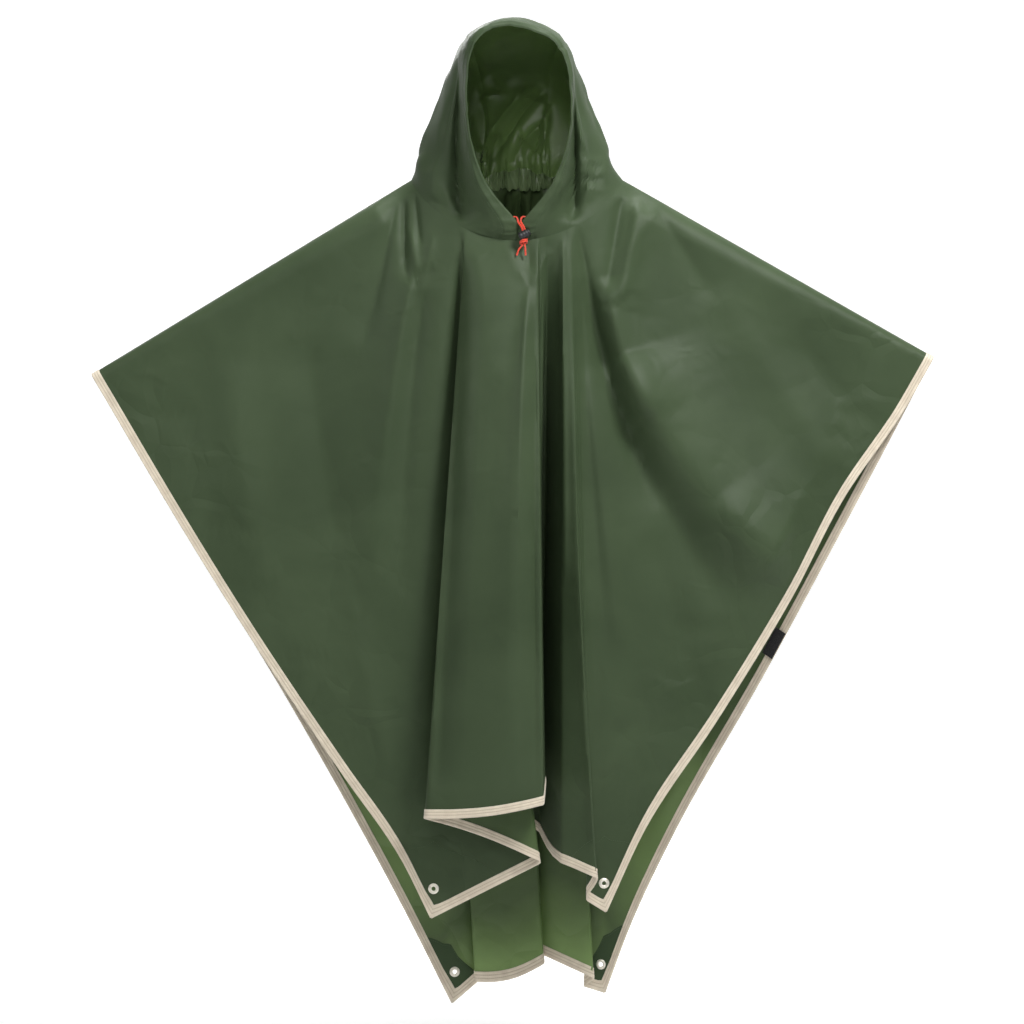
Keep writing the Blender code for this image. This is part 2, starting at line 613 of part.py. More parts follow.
def make_patch(name, panel, side):
    """A quarter-round reinforcement on the inner face of a corner, clear of the tape."""
    corner = np.array([corner_sign(side) * BODY_WIDTH / 2, panel.drop])
    offset = -(CLOTH / 2 + PATCH_LIFT + PATCH_WALL / 2)
    near = np.linalg.norm(panel.flat - corner, axis=1)
    inside = [i for i in range(len(near)) if near[i] < PATCH_RADIUS + 1e-6]
    if side == "left":
        within, beyond = inside[-1], inside[-1] + 1
    else:
        within, beyond = inside[0], inside[0] - 1
    last = within + (beyond - within) * (PATCH_RADIUS - near[within]) / (near[beyond] - near[within])
    columns = sorted([float(i) for i in inside] + [last])
    points, normals = [], []
    for column in columns:
        i = int(min(column, len(panel.flat) - 2))
        edge = lerp(panel.flat[i], panel.flat[i + 1], column - i)
        reach = np.linalg.norm(edge)
        to_corner = corner - edge
        along = -(to_corner @ edge) / reach
        arc = along + math.sqrt(max(along ** 2 - to_corner @ to_corner + PATCH_RADIUS ** 2, 0))
        taped = panel.row(column, 1.0) - 1
        start = taped - 0.02
        stop = min(start - 0.05, panel.row(column, 1 - arc / (reach - NECK_CUT_RADIUS)))
        row_points, row_normals = [], []
        for share in (0.0, 1.0):
            point, normal = panel.surface(column, stop + (start - stop) * share)
            row_points.append(point + normal * offset)
            row_normals.append(normal)
        points.append(row_points)
        normals.append(row_normals)
    return wall(name, np.array(points), np.array(normals), PATCH_WALL, "patch_cloth",
                len(columns) if side == "left" else 0)


def revolve(name, profile, centre, axis, steps, material_name):
    """A ring turned from a closed profile of (radius, height) round an axis."""
    axis = unit(np.asarray(axis, float))
    first = unit(np.cross(axis, (0.31, 0.17, 0.93)))
    second = np.cross(axis, first)
    bm = bmesh.new()
    rings = []
    for step in range(steps):
        angle = math.tau * step / steps
        arm = first * math.cos(angle) + second * math.sin(angle)
        rings.append([bm.verts.new(centre + arm * r + axis * h) for r, h in profile])
    count = len(profile)
    for step in range(steps):
        a, b = rings[step], rings[(step + 1) % steps]
        for k in range(count):
            bm.faces.new((a[k], b[k], b[(k + 1) % count], a[(k + 1) % count]))
    return add_object(name, bm, material_name)


def eyelet_place(panel, side):
    """Middle of a corner's eyelet on the cloth, and its axis, square to the facet."""
    u = corner_sign(side) * (BODY_WIDTH / 2 - EYELET_SIDE_INSET)
    v = panel.drop - EYELET_HEM_INSET
    middle, normal = panel.at(u, v)
    across = panel.at(u + EYELET_FLANGE_RADIUS, v)[0] - panel.at(u - EYELET_FLANGE_RADIUS, v)[0]
    down = panel.at(u, v + EYELET_FLANGE_RADIUS)[0] - panel.at(u, v - EYELET_FLANGE_RADIUS)[0]
    axis = unit(np.cross(across, down))
    return middle, axis * np.sign(axis @ normal)


def make_eyelet(name, panel, side):
    """A two-part eyelet through the cloth, its inner flange let into the patch."""
    centre, axis = eyelet_place(panel, side)
    top = CLOTH / 2 + EYELET_LIFT
    bottom = -(CLOTH / 2 + EYELET_LIFT)
    hole, barrel, flange = EYELET_HOLE_RADIUS, EYELET_BARREL_RADIUS, EYELET_FLANGE_RADIUS
    inner, outer = hole + EYELET_INNER_CHAMFER, flange - EYELET_OUTER_CHAMFER
    profile = ((barrel, bottom), (barrel, top), (flange, top), (outer, top + EYELET_RIM),
               (inner, top + EYELET_RIM), (hole, top), (hole, bottom),
               (inner, bottom - EYELET_RIM), (outer, bottom - EYELET_RIM), (flange, bottom))
    return revolve(name, profile, centre, axis, 20, "eyelet_metal")


def punch(target, centre, axis, radius):
    """Cuts a round hole right through a wall."""
    axis = unit(np.asarray(axis, float))
    bpy.ops.mesh.primitive_cylinder_add(vertices=16, radius=radius,
                                        depth=CUTTER_LENGTH)
    cutter = bpy.context.object
    cutter.name = "cutter_" + target.name
    cutter.matrix_world = mathutils.Matrix.Translation(mathutils.Vector(centre)) @ (
        mathutils.Vector(axis).to_track_quat("Z", "Y").to_matrix().to_4x4())
    cutter.hide_render = True
    cutter.display_type = "WIRE"
    cut = target.modifiers.new("hole_" + cutter.name, "BOOLEAN")
    cut.operation = "DIFFERENCE"
    cut.solver = "EXACT"
    cut.object = cutter


def make_closure(name, panel, side):
    """A hook-and-loop strip along the inner face of a side edge, over its tape."""
    offset = -(CLOTH / 2 + TAPE_LIFT + TAPE_WALL + GAP + CLOSURE_WALL / 2)
    points, normals = [], []
    for step in (-0.5, 0.0, 0.5):
        v = CLOSURE_DROP + step * CLOSURE_LENGTH
        row_points, row_normals = [], []
        for inset in (0.0, CLOSURE_WIDTH / 2, CLOSURE_WIDTH):
            point, normal = panel.at(corner_sign(side) * (BODY_WIDTH / 2 - inset), v)
            row_points.append(point + normal * offset)
            row_normals.append(normal)
        points.append(row_points)
        normals.append(row_normals)
    return wall(name, np.array(points), np.array(normals), CLOSURE_WALL, "hook_and_loop")


# ------------------------------------------------------------------ hood
def hood_foot(bearing, side):
    """Point of the neck seam at a bearing from the middle of the front."""
    back = bearing > 90
    from_left = bearing - 90 if back else 90 - bearing
    return neck_point(from_left if side == "left" else 180 - from_left, back)


def hood_guides(arch, side):
    """Guide points of one half of an arch, from the neck seam up, without the crown."""
    if arch.throat is None:
        return [hood_foot(arch.neck, side)] * 5
    sign = corner_sign(side)
    guides = [hood_foot(arch.neck, side)]
    for index, (half, y, z) in enumerate((arch.throat, arch.jaw, arch.cheek, arch.seam)):
        lean = arch.lean * 0.25 if index == 3 else 0.0
        guides.append(np.array([arch.centre + lean + sign * half, y, z]))
    return guides


def hood_grid():
    """The hood's surface: arches from front to back, each from left to right."""
    frame = []
    for arch in HOOD_ARCHES:
        if arch.crown is None:
            crown = neck_point(90, True)
        else:
            crown = np.array([arch.centre + arch.lean, *arch.crown])
        frame.append(hood_guides(arch, "left") + [crown] + hood_guides(arch, "right")[::-1])
    frame = np.array(frame)
    arches = np.array([catmull_rom(frame[:, k], HOOD_STEPS_ALONG)
                       for k in range(frame.shape[1])]).transpose(1, 0, 2)
    bearings = catmull_rom([[arch.neck] for arch in HOOD_ARCHES], HOOD_STEPS_ALONG)[:, 0]
    for arch, bearing in zip(arches, bearings):
        bearing = min(max(bearing, 0.0), HOOD_ARCHES[-1].neck)
        arch[0] = hood_foot(bearing, "left")
        arch[-1] = hood_foot(bearing, "right")
    grid = np.array([catmull_rom(arch, HOOD_STEPS_OVER) for arch in arches])
    for step in range(1, HOOD_STEPS_OVER):
        share = step / HOOD_STEPS_OVER
        grid[0, step] = lerp(grid[0, 0], grid[0, HOOD_STEPS_OVER], share)
        grid[0, -1 - step] = lerp(grid[0, -1], grid[0, -1 - HOOD_STEPS_OVER], share)
    return grid


def make_hood():
    """Left side, crown strip and right side of the hood, and its turned-in casing."""
    grid = hood_grid()
    normals = -grid_normals(grid)
    for end in (slice(0, HOOD_STEPS_OVER + 1), slice(-HOOD_STEPS_OVER - 1, None)):
        normals[0, end, 0] = 0
        normals[0, end] = unit(normals[0, end])
    normals[-1] = normals[-2]
    left_seam = 4 * HOOD_STEPS_OVER
    right_seam = 6 * HOOD_STEPS_OVER
    last = grid.shape[1] - 1
    normals[-1, :left_seam + 1] = normals[-2, left_seam // 2]
    normals[-1, right_seam:] = normals[-2, (right_seam + last) // 2]
    pieces = (("hood_left", 0, left_seam), ("hood_crown", left_seam, right_seam),
              ("hood_right", right_seam, last))
    for name, start, stop in pieces:
        points = grid[:, start:stop + 1].copy()
        for edge, neighbour in ((0, 1), (-1, -2)):
            at_neck = (start == 0 and edge == 0) or (stop == last and edge == -1)
            step = 2 * GAP if at_neck else GAP / 2
            points[:-1, edge] += unit(points[:-1, neighbour] - points[:-1, edge]) * step
        points[-1] += unit(points[-2] - points[-1]) * 2 * GAP
        if name != "hood_crown":
            throat = points[0, :HOOD_STEPS_OVER + 1] if start == 0 else (
                points[0, -HOOD_STEPS_OVER - 1:])
            throat[:, 0] += (-1 if start == 0 else 1) * GAP
            points[-1] = points[-1].mean(axis=0)
        wall(name, points, normals[:, start:stop + 1], CLOTH, "cloth")
    make_casing(grid, normals)


def make_casing(grid, normals):
    """The turned-in hem round the face opening, open at the throat for the cord."""
    first = HOOD_STEPS_OVER
    final = grid.shape[1] - 1 - HOOD_STEPS_OVER
    band = grid[:3, first:final + 1].copy()
    facing = normals[:3, first:final + 1].copy()
    for end, neighbour in ((0, 1), (-1, -2)):
        band[:, end] = lerp(band[:, end], band[:, neighbour], CASING_START)
        facing[:, end] = unit(lerp(facing[:, end], facing[:, neighbour], CASING_START))
    band -= facing * (CLOTH + 2 * GAP)
    return wall("hood_casing", band, facing, CLOTH, "cloth")


# ------------------------------------------------------------------ drawcord
def make_cord(name, route):
    """A cord along a smooth curve through its route."""
    smooth = catmull_rom(route, 2)
    curve = bpy.data.curves.new(name, "CURVE")
    curve.dimensions = "3D"
    curve.bevel_depth = CORD_RADIUS
    curve.bevel_resolution = 2
    curve.use_fill_caps = True
    spline = curve.splines.new("POLY")
    spline.points.add(len(smooth) - 1)
    for point, place in zip(spline.points, smooth):
        point.co = (*place, 1.0)
    cord = bpy.data.objects.new(name, curve)
    cord.data.materials.append(material("cord"))
    bpy.context.scene.collection.objects.link(cord)
    return cord


def make_knot():
    """The turn of cord that ties both strands below the stopper."""
    x, y, z = STOPPER_CENTRE
    profile = [(KNOT_WRAP + CORD_RADIUS * math.cos(a), KNOT_HALF_HEIGHT * math.sin(a))
               for a in np.arange(10) * math.tau / 10]
    return revolve("cord_knot", profile, np.array([x, y, KNOT_HEIGHT]), (0, 0, 1), 20, "cord")


def make_stopper():
    """A barrel stopper with a push button, and a slot for both strands."""
    x, y, z = STOPPER_CENTRE
    axis = np.array([math.cos(STOPPER_TILT), 0.0, math.sin(STOPPER_TILT)])
    half = STOPPER_LENGTH / 2
    edge = STOPPER_BEVEL
    outline = ((-half, STOPPER_RADIUS - edge), (-half + edge, STOPPER_RADIUS),
               (half - edge, STOPPER_RADIUS), (half, STOPPER_RADIUS - edge),
               (half, BUTTON_RADIUS), (half + BUTTON_LENGTH - edge, BUTTON_RADIUS),
               (half + BUTTON_LENGTH, BUTTON_RADIUS - edge))
    first = np.array([0.0, 1.0, 0.0])
    second = np.cross(axis, first)
    sections = [[np.array(STOPPER_CENTRE) + axis * along
                 + (first * math.cos(a) + second * math.sin(a)) * radius
                 for a in np.arange(20) * math.tau / 20] for along, radius in outline]
    body = loft("cord_stopper", sections, "stopper_plastic")
    bpy.ops.mesh.primitive_cube_add(size=1, location=(x, y, z))
    slot = bpy.context.object
    slot.name = "cutter_slot"
    slot.scale = (STRAND_SPACING + 2 * (CORD_RADIUS + GAP), 2 * (CORD_RADIUS + GAP), SLOT_HEIGHT)
    slot.hide_render = True
    slot.display_type = "WIRE"
    cut = body.modifiers.new("slot", "BOOLEAN")
    cut.operation = "DIFFERENCE"
    cut.solver = "EXACT"
    cut.object = slot
    return body


# ------------------------------------------------------------------ main
def clear_scene():
    """Removes whatever the scene holds."""
    for thing in list(bpy.data.objects):
        bpy.data.objects.remove(thing, do_unlink=True)


def make_panels():
    """Both halves of the body cloth, as surfaces."""
    front = Panel(False, FRONT_DROP, FRONT_FOLDS, FRONT_LEFT_EDGE, FRONT_RIGHT_EDGE)
    back = Panel(True, BACK_DROP, BACK_FOLDS, BACK_LEFT_EDGE, BACK_RIGHT_EDGE)
    return front, back


def main():
    clear_scene()
    front, back = make_panels()
    for panel, word in ((front, "front"), (back, "back")):
        cloth = make_panel(word + "_panel", panel)
        make_hem_tape("hem_tape_" + word, panel)
        for side in ("left", "right"):
            corner = word + "_" + side
            patch = make_patch("patch_" + corner, panel, side)
            make_eyelet("eyelet_" + corner, panel, side)
            centre, axis = eyelet_place(panel, side)
            punch(cloth, centre, axis, EYELET_BARREL_RADIUS + GAP)
            punch(patch, centre, axis, EYELET_FLANGE_RADIUS + GAP)
            make_closure("closure_" + corner, panel, side)
    for side in ("left", "right"):
        make_side_tape("side_tape_" + side, side, front, back)
    make_hood()
    make_cord("drawcord_left", CORD_LEFT)
    make_cord("drawcord_right", CORD_RIGHT)
    make_knot()
    make_stopper()


if __name__ == "__main__":
    main()
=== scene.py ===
"""Looks of the hooded rain poncho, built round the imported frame.

Metres, +Z up, front towards -Y, origin in the middle of the neck hole.
"""

import math
from collections import namedtuple

import bmesh
import bpy
import numpy as np
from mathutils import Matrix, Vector


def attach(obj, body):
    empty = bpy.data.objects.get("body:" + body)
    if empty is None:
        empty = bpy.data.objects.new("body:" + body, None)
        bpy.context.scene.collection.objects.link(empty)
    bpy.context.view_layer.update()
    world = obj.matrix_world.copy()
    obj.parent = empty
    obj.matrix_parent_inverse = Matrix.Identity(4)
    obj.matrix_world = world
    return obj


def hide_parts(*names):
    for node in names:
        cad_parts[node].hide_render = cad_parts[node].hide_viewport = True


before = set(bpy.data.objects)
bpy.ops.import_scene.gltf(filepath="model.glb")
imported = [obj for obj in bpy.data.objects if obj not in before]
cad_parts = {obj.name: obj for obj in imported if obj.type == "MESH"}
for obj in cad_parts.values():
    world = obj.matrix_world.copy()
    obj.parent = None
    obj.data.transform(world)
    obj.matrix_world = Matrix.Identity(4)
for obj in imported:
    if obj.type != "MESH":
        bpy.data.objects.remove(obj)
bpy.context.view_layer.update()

# ------------------------------------------------------------------ sizes
BODY_WIDTH = 1.50
HALF_WIDTH = BODY_WIDTH / 2
FRONT_DROP = 1.04
BACK_DROP = 1.19
NECK_CENTRE_X = 0.008
NECK_HALF_WIDTH = 0.170
NECK_HALF_DEPTH = 0.085
NECK_HEIGHT = 0.011
NECK_FRONT_DIP = 0.104
NECK_CUT_RADIUS = 0.125
TIP_LEFT = (-0.677, 0.0, -0.302)
TIP_RIGHT = (0.679, 0.0, -0.274)
ARM_RADIUS_NECK = 0.046
ARM_RADIUS_TIP = 0.012
ARM_FADE = 0.25

SHOULDER_FADE, NECK_FADE, EDGE_FADE = 0.05, 0.025, 0.07    # where creases die out
BODY_RIPPLE, BODY_WAVE = 0.0016, 0.13    # height and length of the body's slow waves

CLOTH = 0.0006             # thickness of the cloth that shows
LINING = 0.0005            # thickness of patches and of the gathered cloth
TAPE_WIDTH = 0.0135
TAPE_WALL = 0.0009
TAPE_GAP = 0.00025         # between the tape and the cloth in its fold
TAPE_CORNER_STOPS = (0.0004, 0.005, 0.010, TAPE_WIDTH)    # its sections near a corner
PATCH_RADIUS = 0.118
PATCH_DEPTH = 0.0007       # of a patch's middle inside that of the cloth
PATCH_MARGIN = 0.004       # between the arc of a patch and its stitches
PATCH_STITCH_DEPTH = 0.0010
PATCH_HEM_SHARE = {False: 1.0, True: 0.42}    # how far it reaches along the hem, front and back
EYELET_HOLE_RADIUS = 0.0034
EYELET_FLANGE_RADIUS = 0.0084
EYELET_SIDE_INSET = 0.026
EYELET_HEM_INSET = 0.033
EYELET_SPAN = 0.008        # to each side, where the slope of the cloth is taken
CLOSURE_LENGTH = 0.048
CLOSURE_WIDTH = 0.020
CLOSURE_DROP = 0.54
CLOSURE_THICKNESS = 0.0018
CLOSURE_GAP = 0.0007       # between a closure and the tape under it
CORD_RADIUS = 0.0015
STOPPER_CENTRE = (0.01825, -0.0990, -0.0860)
STOPPER_TILT = math.radians(28)
KNOT_HEIGHT = -0.0970
KNOT_TURNS = 2.15
SEAM_STITCH, SEAM_GAP = 0.0026, 0.0009    # length of a stitch and of the gap after it
THREAD_RADIUS, THREAD_LIFT = 0.00032, 0.0002

BODY_ROWS = 92             # mesh rows from the neck to the hem
SIDE_STEPS = {False: 58, True: 46}    # mesh columns on a side edge, front and back
TURN_STEPS = 5             # mesh columns round a crease
RUN_STEP = 0.016           # width of a mesh column between creases, at the hem
FINE_RUNS = ("pleat right", "small tuck")    # folds with finer columns on their left
FINE_STEP = 0.008
ROW_CROWDING = 1.25        # rows lie closer together towards the neck
COLUMN_CROWDING = 1.35     # columns lie closer together towards a tip
SOFT_COLUMNS = 7           # columns on each side of a corner that ease its bend
HOOD_STEPS_ALONG = 18
HOOD_STEPS_OVER = 14
CROWN_SEAM = 4             # guide at which a side of the hood meets its crown strip
BAND_SEAM = 0.62           # guide at which the cord's band is stitched down
BAND_RISE, BAND_TROUGH, BAND_PUCKER = 0.0030, 0.0020, 0.0009
SEAM_TROUGH, SEAM_RIDGE = 0.0014, 0.0008
EAR_GUIDE = 2.2            # where the hood's front creases give way to the back ones
GUIDE_LENGTH = 0.07        # flat cloth from one guide of the hood to the next
HOOD_RIPPLE, HOOD_WAVE = 0.0012, 0.05
NAPE_RIPPLE, NAPE_PITCH = 0.0022, 0.011    # gathers outside the nape
RIM_ROLL = 0.0024          # how far the edge of the face opening turns in
CASING_START = 1.3         # guide at which the casing's ends are
CASING_DEPTH, CASING_SWELL = 0.0014, 0.0012
GATHER_COLUMNS, GATHER_ROWS = 300, 10
GATHER_CUT = (0.30, 0.03)  # flat size of the gathered cloth
WEAVE_PITCH = 0.0009       # thread to thread in the cloth
RIB_PITCH = 0.0011         # rib to rib in the tape
STITCH_PITCH = 0.0034      # stitch to stitch in the tape
BRAID_PITCH = 0.0019       # strand to strand along the cord
SHARP_EDGE = 50            # degrees
RING_STEPS = 40            # corners of a turned part
PUNCH_STEPS = 24           # corners of a punched hole
PUNCH_RADIUS = EYELET_HOLE_RADIUS + 0.0008
PUNCH_REACH = 0.004        # to each side of the cloth

CAMERA_DISTANCE = 5.0
CAMERA_HEIGHT = -0.5242
PICTURE_WIDTH = 1024
PIXELS_A_METRE = 620       # in a picture of that width, at the origin
LIGHTS = (                 # name, place, target, size, watts
    ("key", (1.4, -1.6, 1.75), (0, 0, 0.0), (1.0, 0.9), 100),
    ("front", (-0.2, -2.5, 1.0), (0, 0, 0.12), (1.2, 1.0), 21),
    ("back", (-0.5, 3.0, 1.0), (0, 0, -0.2), (1.0, 1.0), 30),
    ("side", (-1.9, -1.1, 0.5), (-0.1, 0, 0.12), (0.6, 0.6), 11),
    ("top", (0.1, 0.3, 2.0), (0, 0, 0.0), (1.0, 0.6), 48),
)
FLOOR_HEIGHT = -1.45
WALL_Y = 8.0
SWEEP_RADIUS = 1.5         # of the paper between floor and wall
WORLD_LIGHT = 0.11

# ------------------------------------------------------------------ cords
CORD_LEFT = (
    (-0.00207, -0.09216, -0.05719), (0.00630, -0.08945, -0.05700),
    (0.00890, -0.09250, -0.06150), (0.01030, -0.09720, -0.06650),
    (0.01645, -0.09900, -0.07650), (0.01645, -0.09900, -0.08600),
    (0.01645, -0.09900, -0.09700), (0.01627, -0.09900, -0.10200),
    (0.01063, -0.09900, -0.10950), (0.00750, -0.09850, -0.11850),
)
CORD_RIGHT = (
    (0.02525, -0.09216, -0.05719), (0.01670, -0.08945, -0.05700),
    (0.01410, -0.09250, -0.06150), (0.01470, -0.09720, -0.06650),
    (0.02005, -0.09900, -0.07650), (0.02005, -0.09900, -0.08600),
    (0.02005, -0.09900, -0.09700), (0.02023, -0.09900, -0.10200),
    (0.02099, -0.09900, -0.10950), (0.02150, -0.09850, -0.11850),
)

# ------------------------------------------------------------------ folds
# The folds that run from the neck to the hem: x, z and the depths of the
# layers on the hem, the bearing on the neck hole, the share of the way down
# where the layers begin to overlap and the place before they do, and how far
# from the crease the cloth starts to turn.
Fold = namedtuple("Fold", "name x y_in y_out z neck start loose_x round")


def fold_table(*rows):
    """Folds from rows in millimetres, degrees and shares."""
    plain = ("name", "neck", "start")
    return [Fold(*(value if field in plain else value / 1000
                   for field, value in zip(Fold._fields, row))) for row in rows]


FRONT_FOLDS = fold_table(
    ("corner left", -128, -105, -105, -1165, 54, 0, -128, 0),
    ("first tuck", 44, -111, -129, -1075, 57, 0, 44, 9),
    ("pleat left", -137, -147, -165, -1002, 61, 0, -137, 9),
    ("pleat crown", -30, -188, -188, -999, 84, 0, -30, 50),
    ("pleat right", 49, -178, -178, -979, 101, 0, 49, 10),
    ("valley left", 53, -92, -92, -955, 102, 0.1, 47, 7),
    ("hidden one", -114, -90, -77, -935, 103, 0.1, 48, 6),
    ("hidden two", 38, -75, -62, -930, 104, 0.1, 49, 6),
    ("hidden three", -112, -60, -44, -935, 105, 0.1, 50, 7),
    ("valley foot", 44, -34, -34, -1035, 106.5, 0.1, 52, 8),
    ("valley right", 78, -110, -110, -1076, 115, 0, 78, 8),
    ("small tuck", 134, -134, -121, -1099, 120, 0.45, 116, 7),
    ("tuck back", 118, -117, -105, -1134, 122, 0.45, 124, 6),
    ("corner right", 148.6, -100, -100, -1156, 126, 0, 148.6, 0),
)
BACK_FOLDS = fold_table(
    ("corner left", -98.5, 90, 90, -1330, 57, 0, -98.5, 0),
    ("tuck back left", -33, 100, 92, -1274, 62, 0.8, -84, 6),
    ("small tuck left", -60.5, 84, 74, -1292, 66, 0.8, -78, 6),
    ("inner right", 52.5, 80, 94, -1261, 79, 0, 52.5, 7),
    ("outer left", -174, 114, 134, -1165, 83, 0, -168, 10),
    ("pipe one left", -150, 218, 218, -1125, 86, 0, -140, 22),
    ("pipe one right", -98, 224, 224, -1115, 88, 0, -92, 22),
    ("dip one", -56, 140, 140, -1120, 90, 0, -54, 20),
    ("pipe two left", -20, 226, 226, -1110, 93, 0, -18, 22),
    ("pipe two right", 40, 226, 226, -1105, 95, 0, 40, 22),
    ("dip two", 80, 140, 140, -1115, 97, 0, 78, 20),
    ("pipe three left", 114, 222, 222, -1110, 100, 0, 110, 22),
    ("pipe three right", 168, 212, 212, -1120, 102, 0, 162, 22),
    ("outer right", 208, 134, 114, -1165, 105, 0, 202, 10),
    ("inner left", 36, 122, 106, -1243.5, 109, 0, 36, 8),
    ("small tuck right", 134, 74, 86, -1287, 117, 0.5, 122, 6),
    ("tuck back right", 119, 90, 100, -1303, 119, 0.5, 126, 5),
    ("corner right", 152.7, 98, 98, -1314, 123, 0, 152.7, 0),
)

# How far the hem rises above (or, below 0, sags under) the straight line
# that leads to a fold, and how far from a fold its bend is eased.
HEM_RISES = {"pleat left": 0.007, "valley right": -0.009, "inner right": -0.012,
             "inner left": -0.006}
HEM_EASES = {"valley right": 0.030, "inner right": 0.020}

# A side edge leaves the straight line from tip to corner by "out" at a share.
FRONT_LEFT_EDGE = ((0, 0), (0.15, 0.005), (0.50, 0.007), (0.74, -0.002), (0.90, -0.010), (1, 0))
FRONT_RIGHT_EDGE = ((0, 0), (0.10, 0.002), (0.26, -0.009), (0.44, 0.0), (0.66, -0.003),
                    (0.86, -0.014), (1, 0))
BACK_LEFT_EDGE = ((0, 0), (0.20, -0.004), (0.55, -0.014), (0.85, -0.009), (1, 0))
BACK_RIGHT_EDGE = ((0, 0), (0.25, -0.003), (0.50, -0.008), (0.76, -0.020), (0.90, -0.014), (1, 0))

# The hood's arches, each from the neck seam on the left over the crown to the
# neck seam on the right; each guide is (half width, y, z), the crown (y, z).
Arch = namedtuple("Arch", "name neck centre lean throat jaw cheek seam crown")
HOOD_ARCHES = (
    Arch("rim", 0, 0.0115, -0.020, (0.000, -0.092, -0.070), (0.054, -0.106, 0.000),
         (0.080, -0.118, 0.095), (0.068, -0.121, 0.205), (-0.116, 0.241)),
    Arch("brow", 18, 0.0080, -0.012, (0.050, -0.092, -0.058), (0.078, -0.098, 0.005),
         (0.089, -0.100, 0.097), (0.080, -0.100, 0.212), (-0.098, 0.2565)),
    Arch("ear", 58, 0.0030, 0.0, (0.148, -0.034, 0.025), (0.138, -0.024, 0.068),
         (0.117, -0.020, 0.130), (0.080, -0.020, 0.234), (-0.020, 0.267)),
    Arch("rear", 100, 0.0040, 0.0, (0.147, 0.028, 0.045), (0.132, 0.042, 0.085),
         (0.109, 0.050, 0.140), (0.068, 0.045, 0.226), (0.045, 0.252)),
    Arch("back", 135, 0.0060, 0.0, (0.110, 0.075, 0.042), (0.102, 0.090, 0.082),
         (0.088, 0.101, 0.128), (0.056, 0.106, 0.178), (0.118, 0.188)),
    Arch("low", 152, 0.0070, 0.0, (0.070, 0.086, 0.028), (0.065, 0.097, 0.048),
         (0.058, 0.105, 0.073), (0.049, 0.113, 0.098), (0.125, 0.098)),
    Arch("nape", 164, 0.0080, 0.0, None, None, None, None, None),
)

# ------------------------------------------------------------------ creases
Crease = namedtuple("Crease", "xa za xb zb xc zc width_a width_b height lean")


def crease_table(*rows):
    """Creases from rows in millimetres, each row's last value the lean.

    They are soft troughs (height below 0) and ridges (above 0), each along a
    line that is bent towards its middle place.  The widths are half widths at
    both ends.  Where the line runs down, lean narrows the flank on its +x side
    (above 0) or widens it (below 0).
    """
    return [Crease(*(value / 1000 for value in row[:-1]), row[-1]) for row in rows]


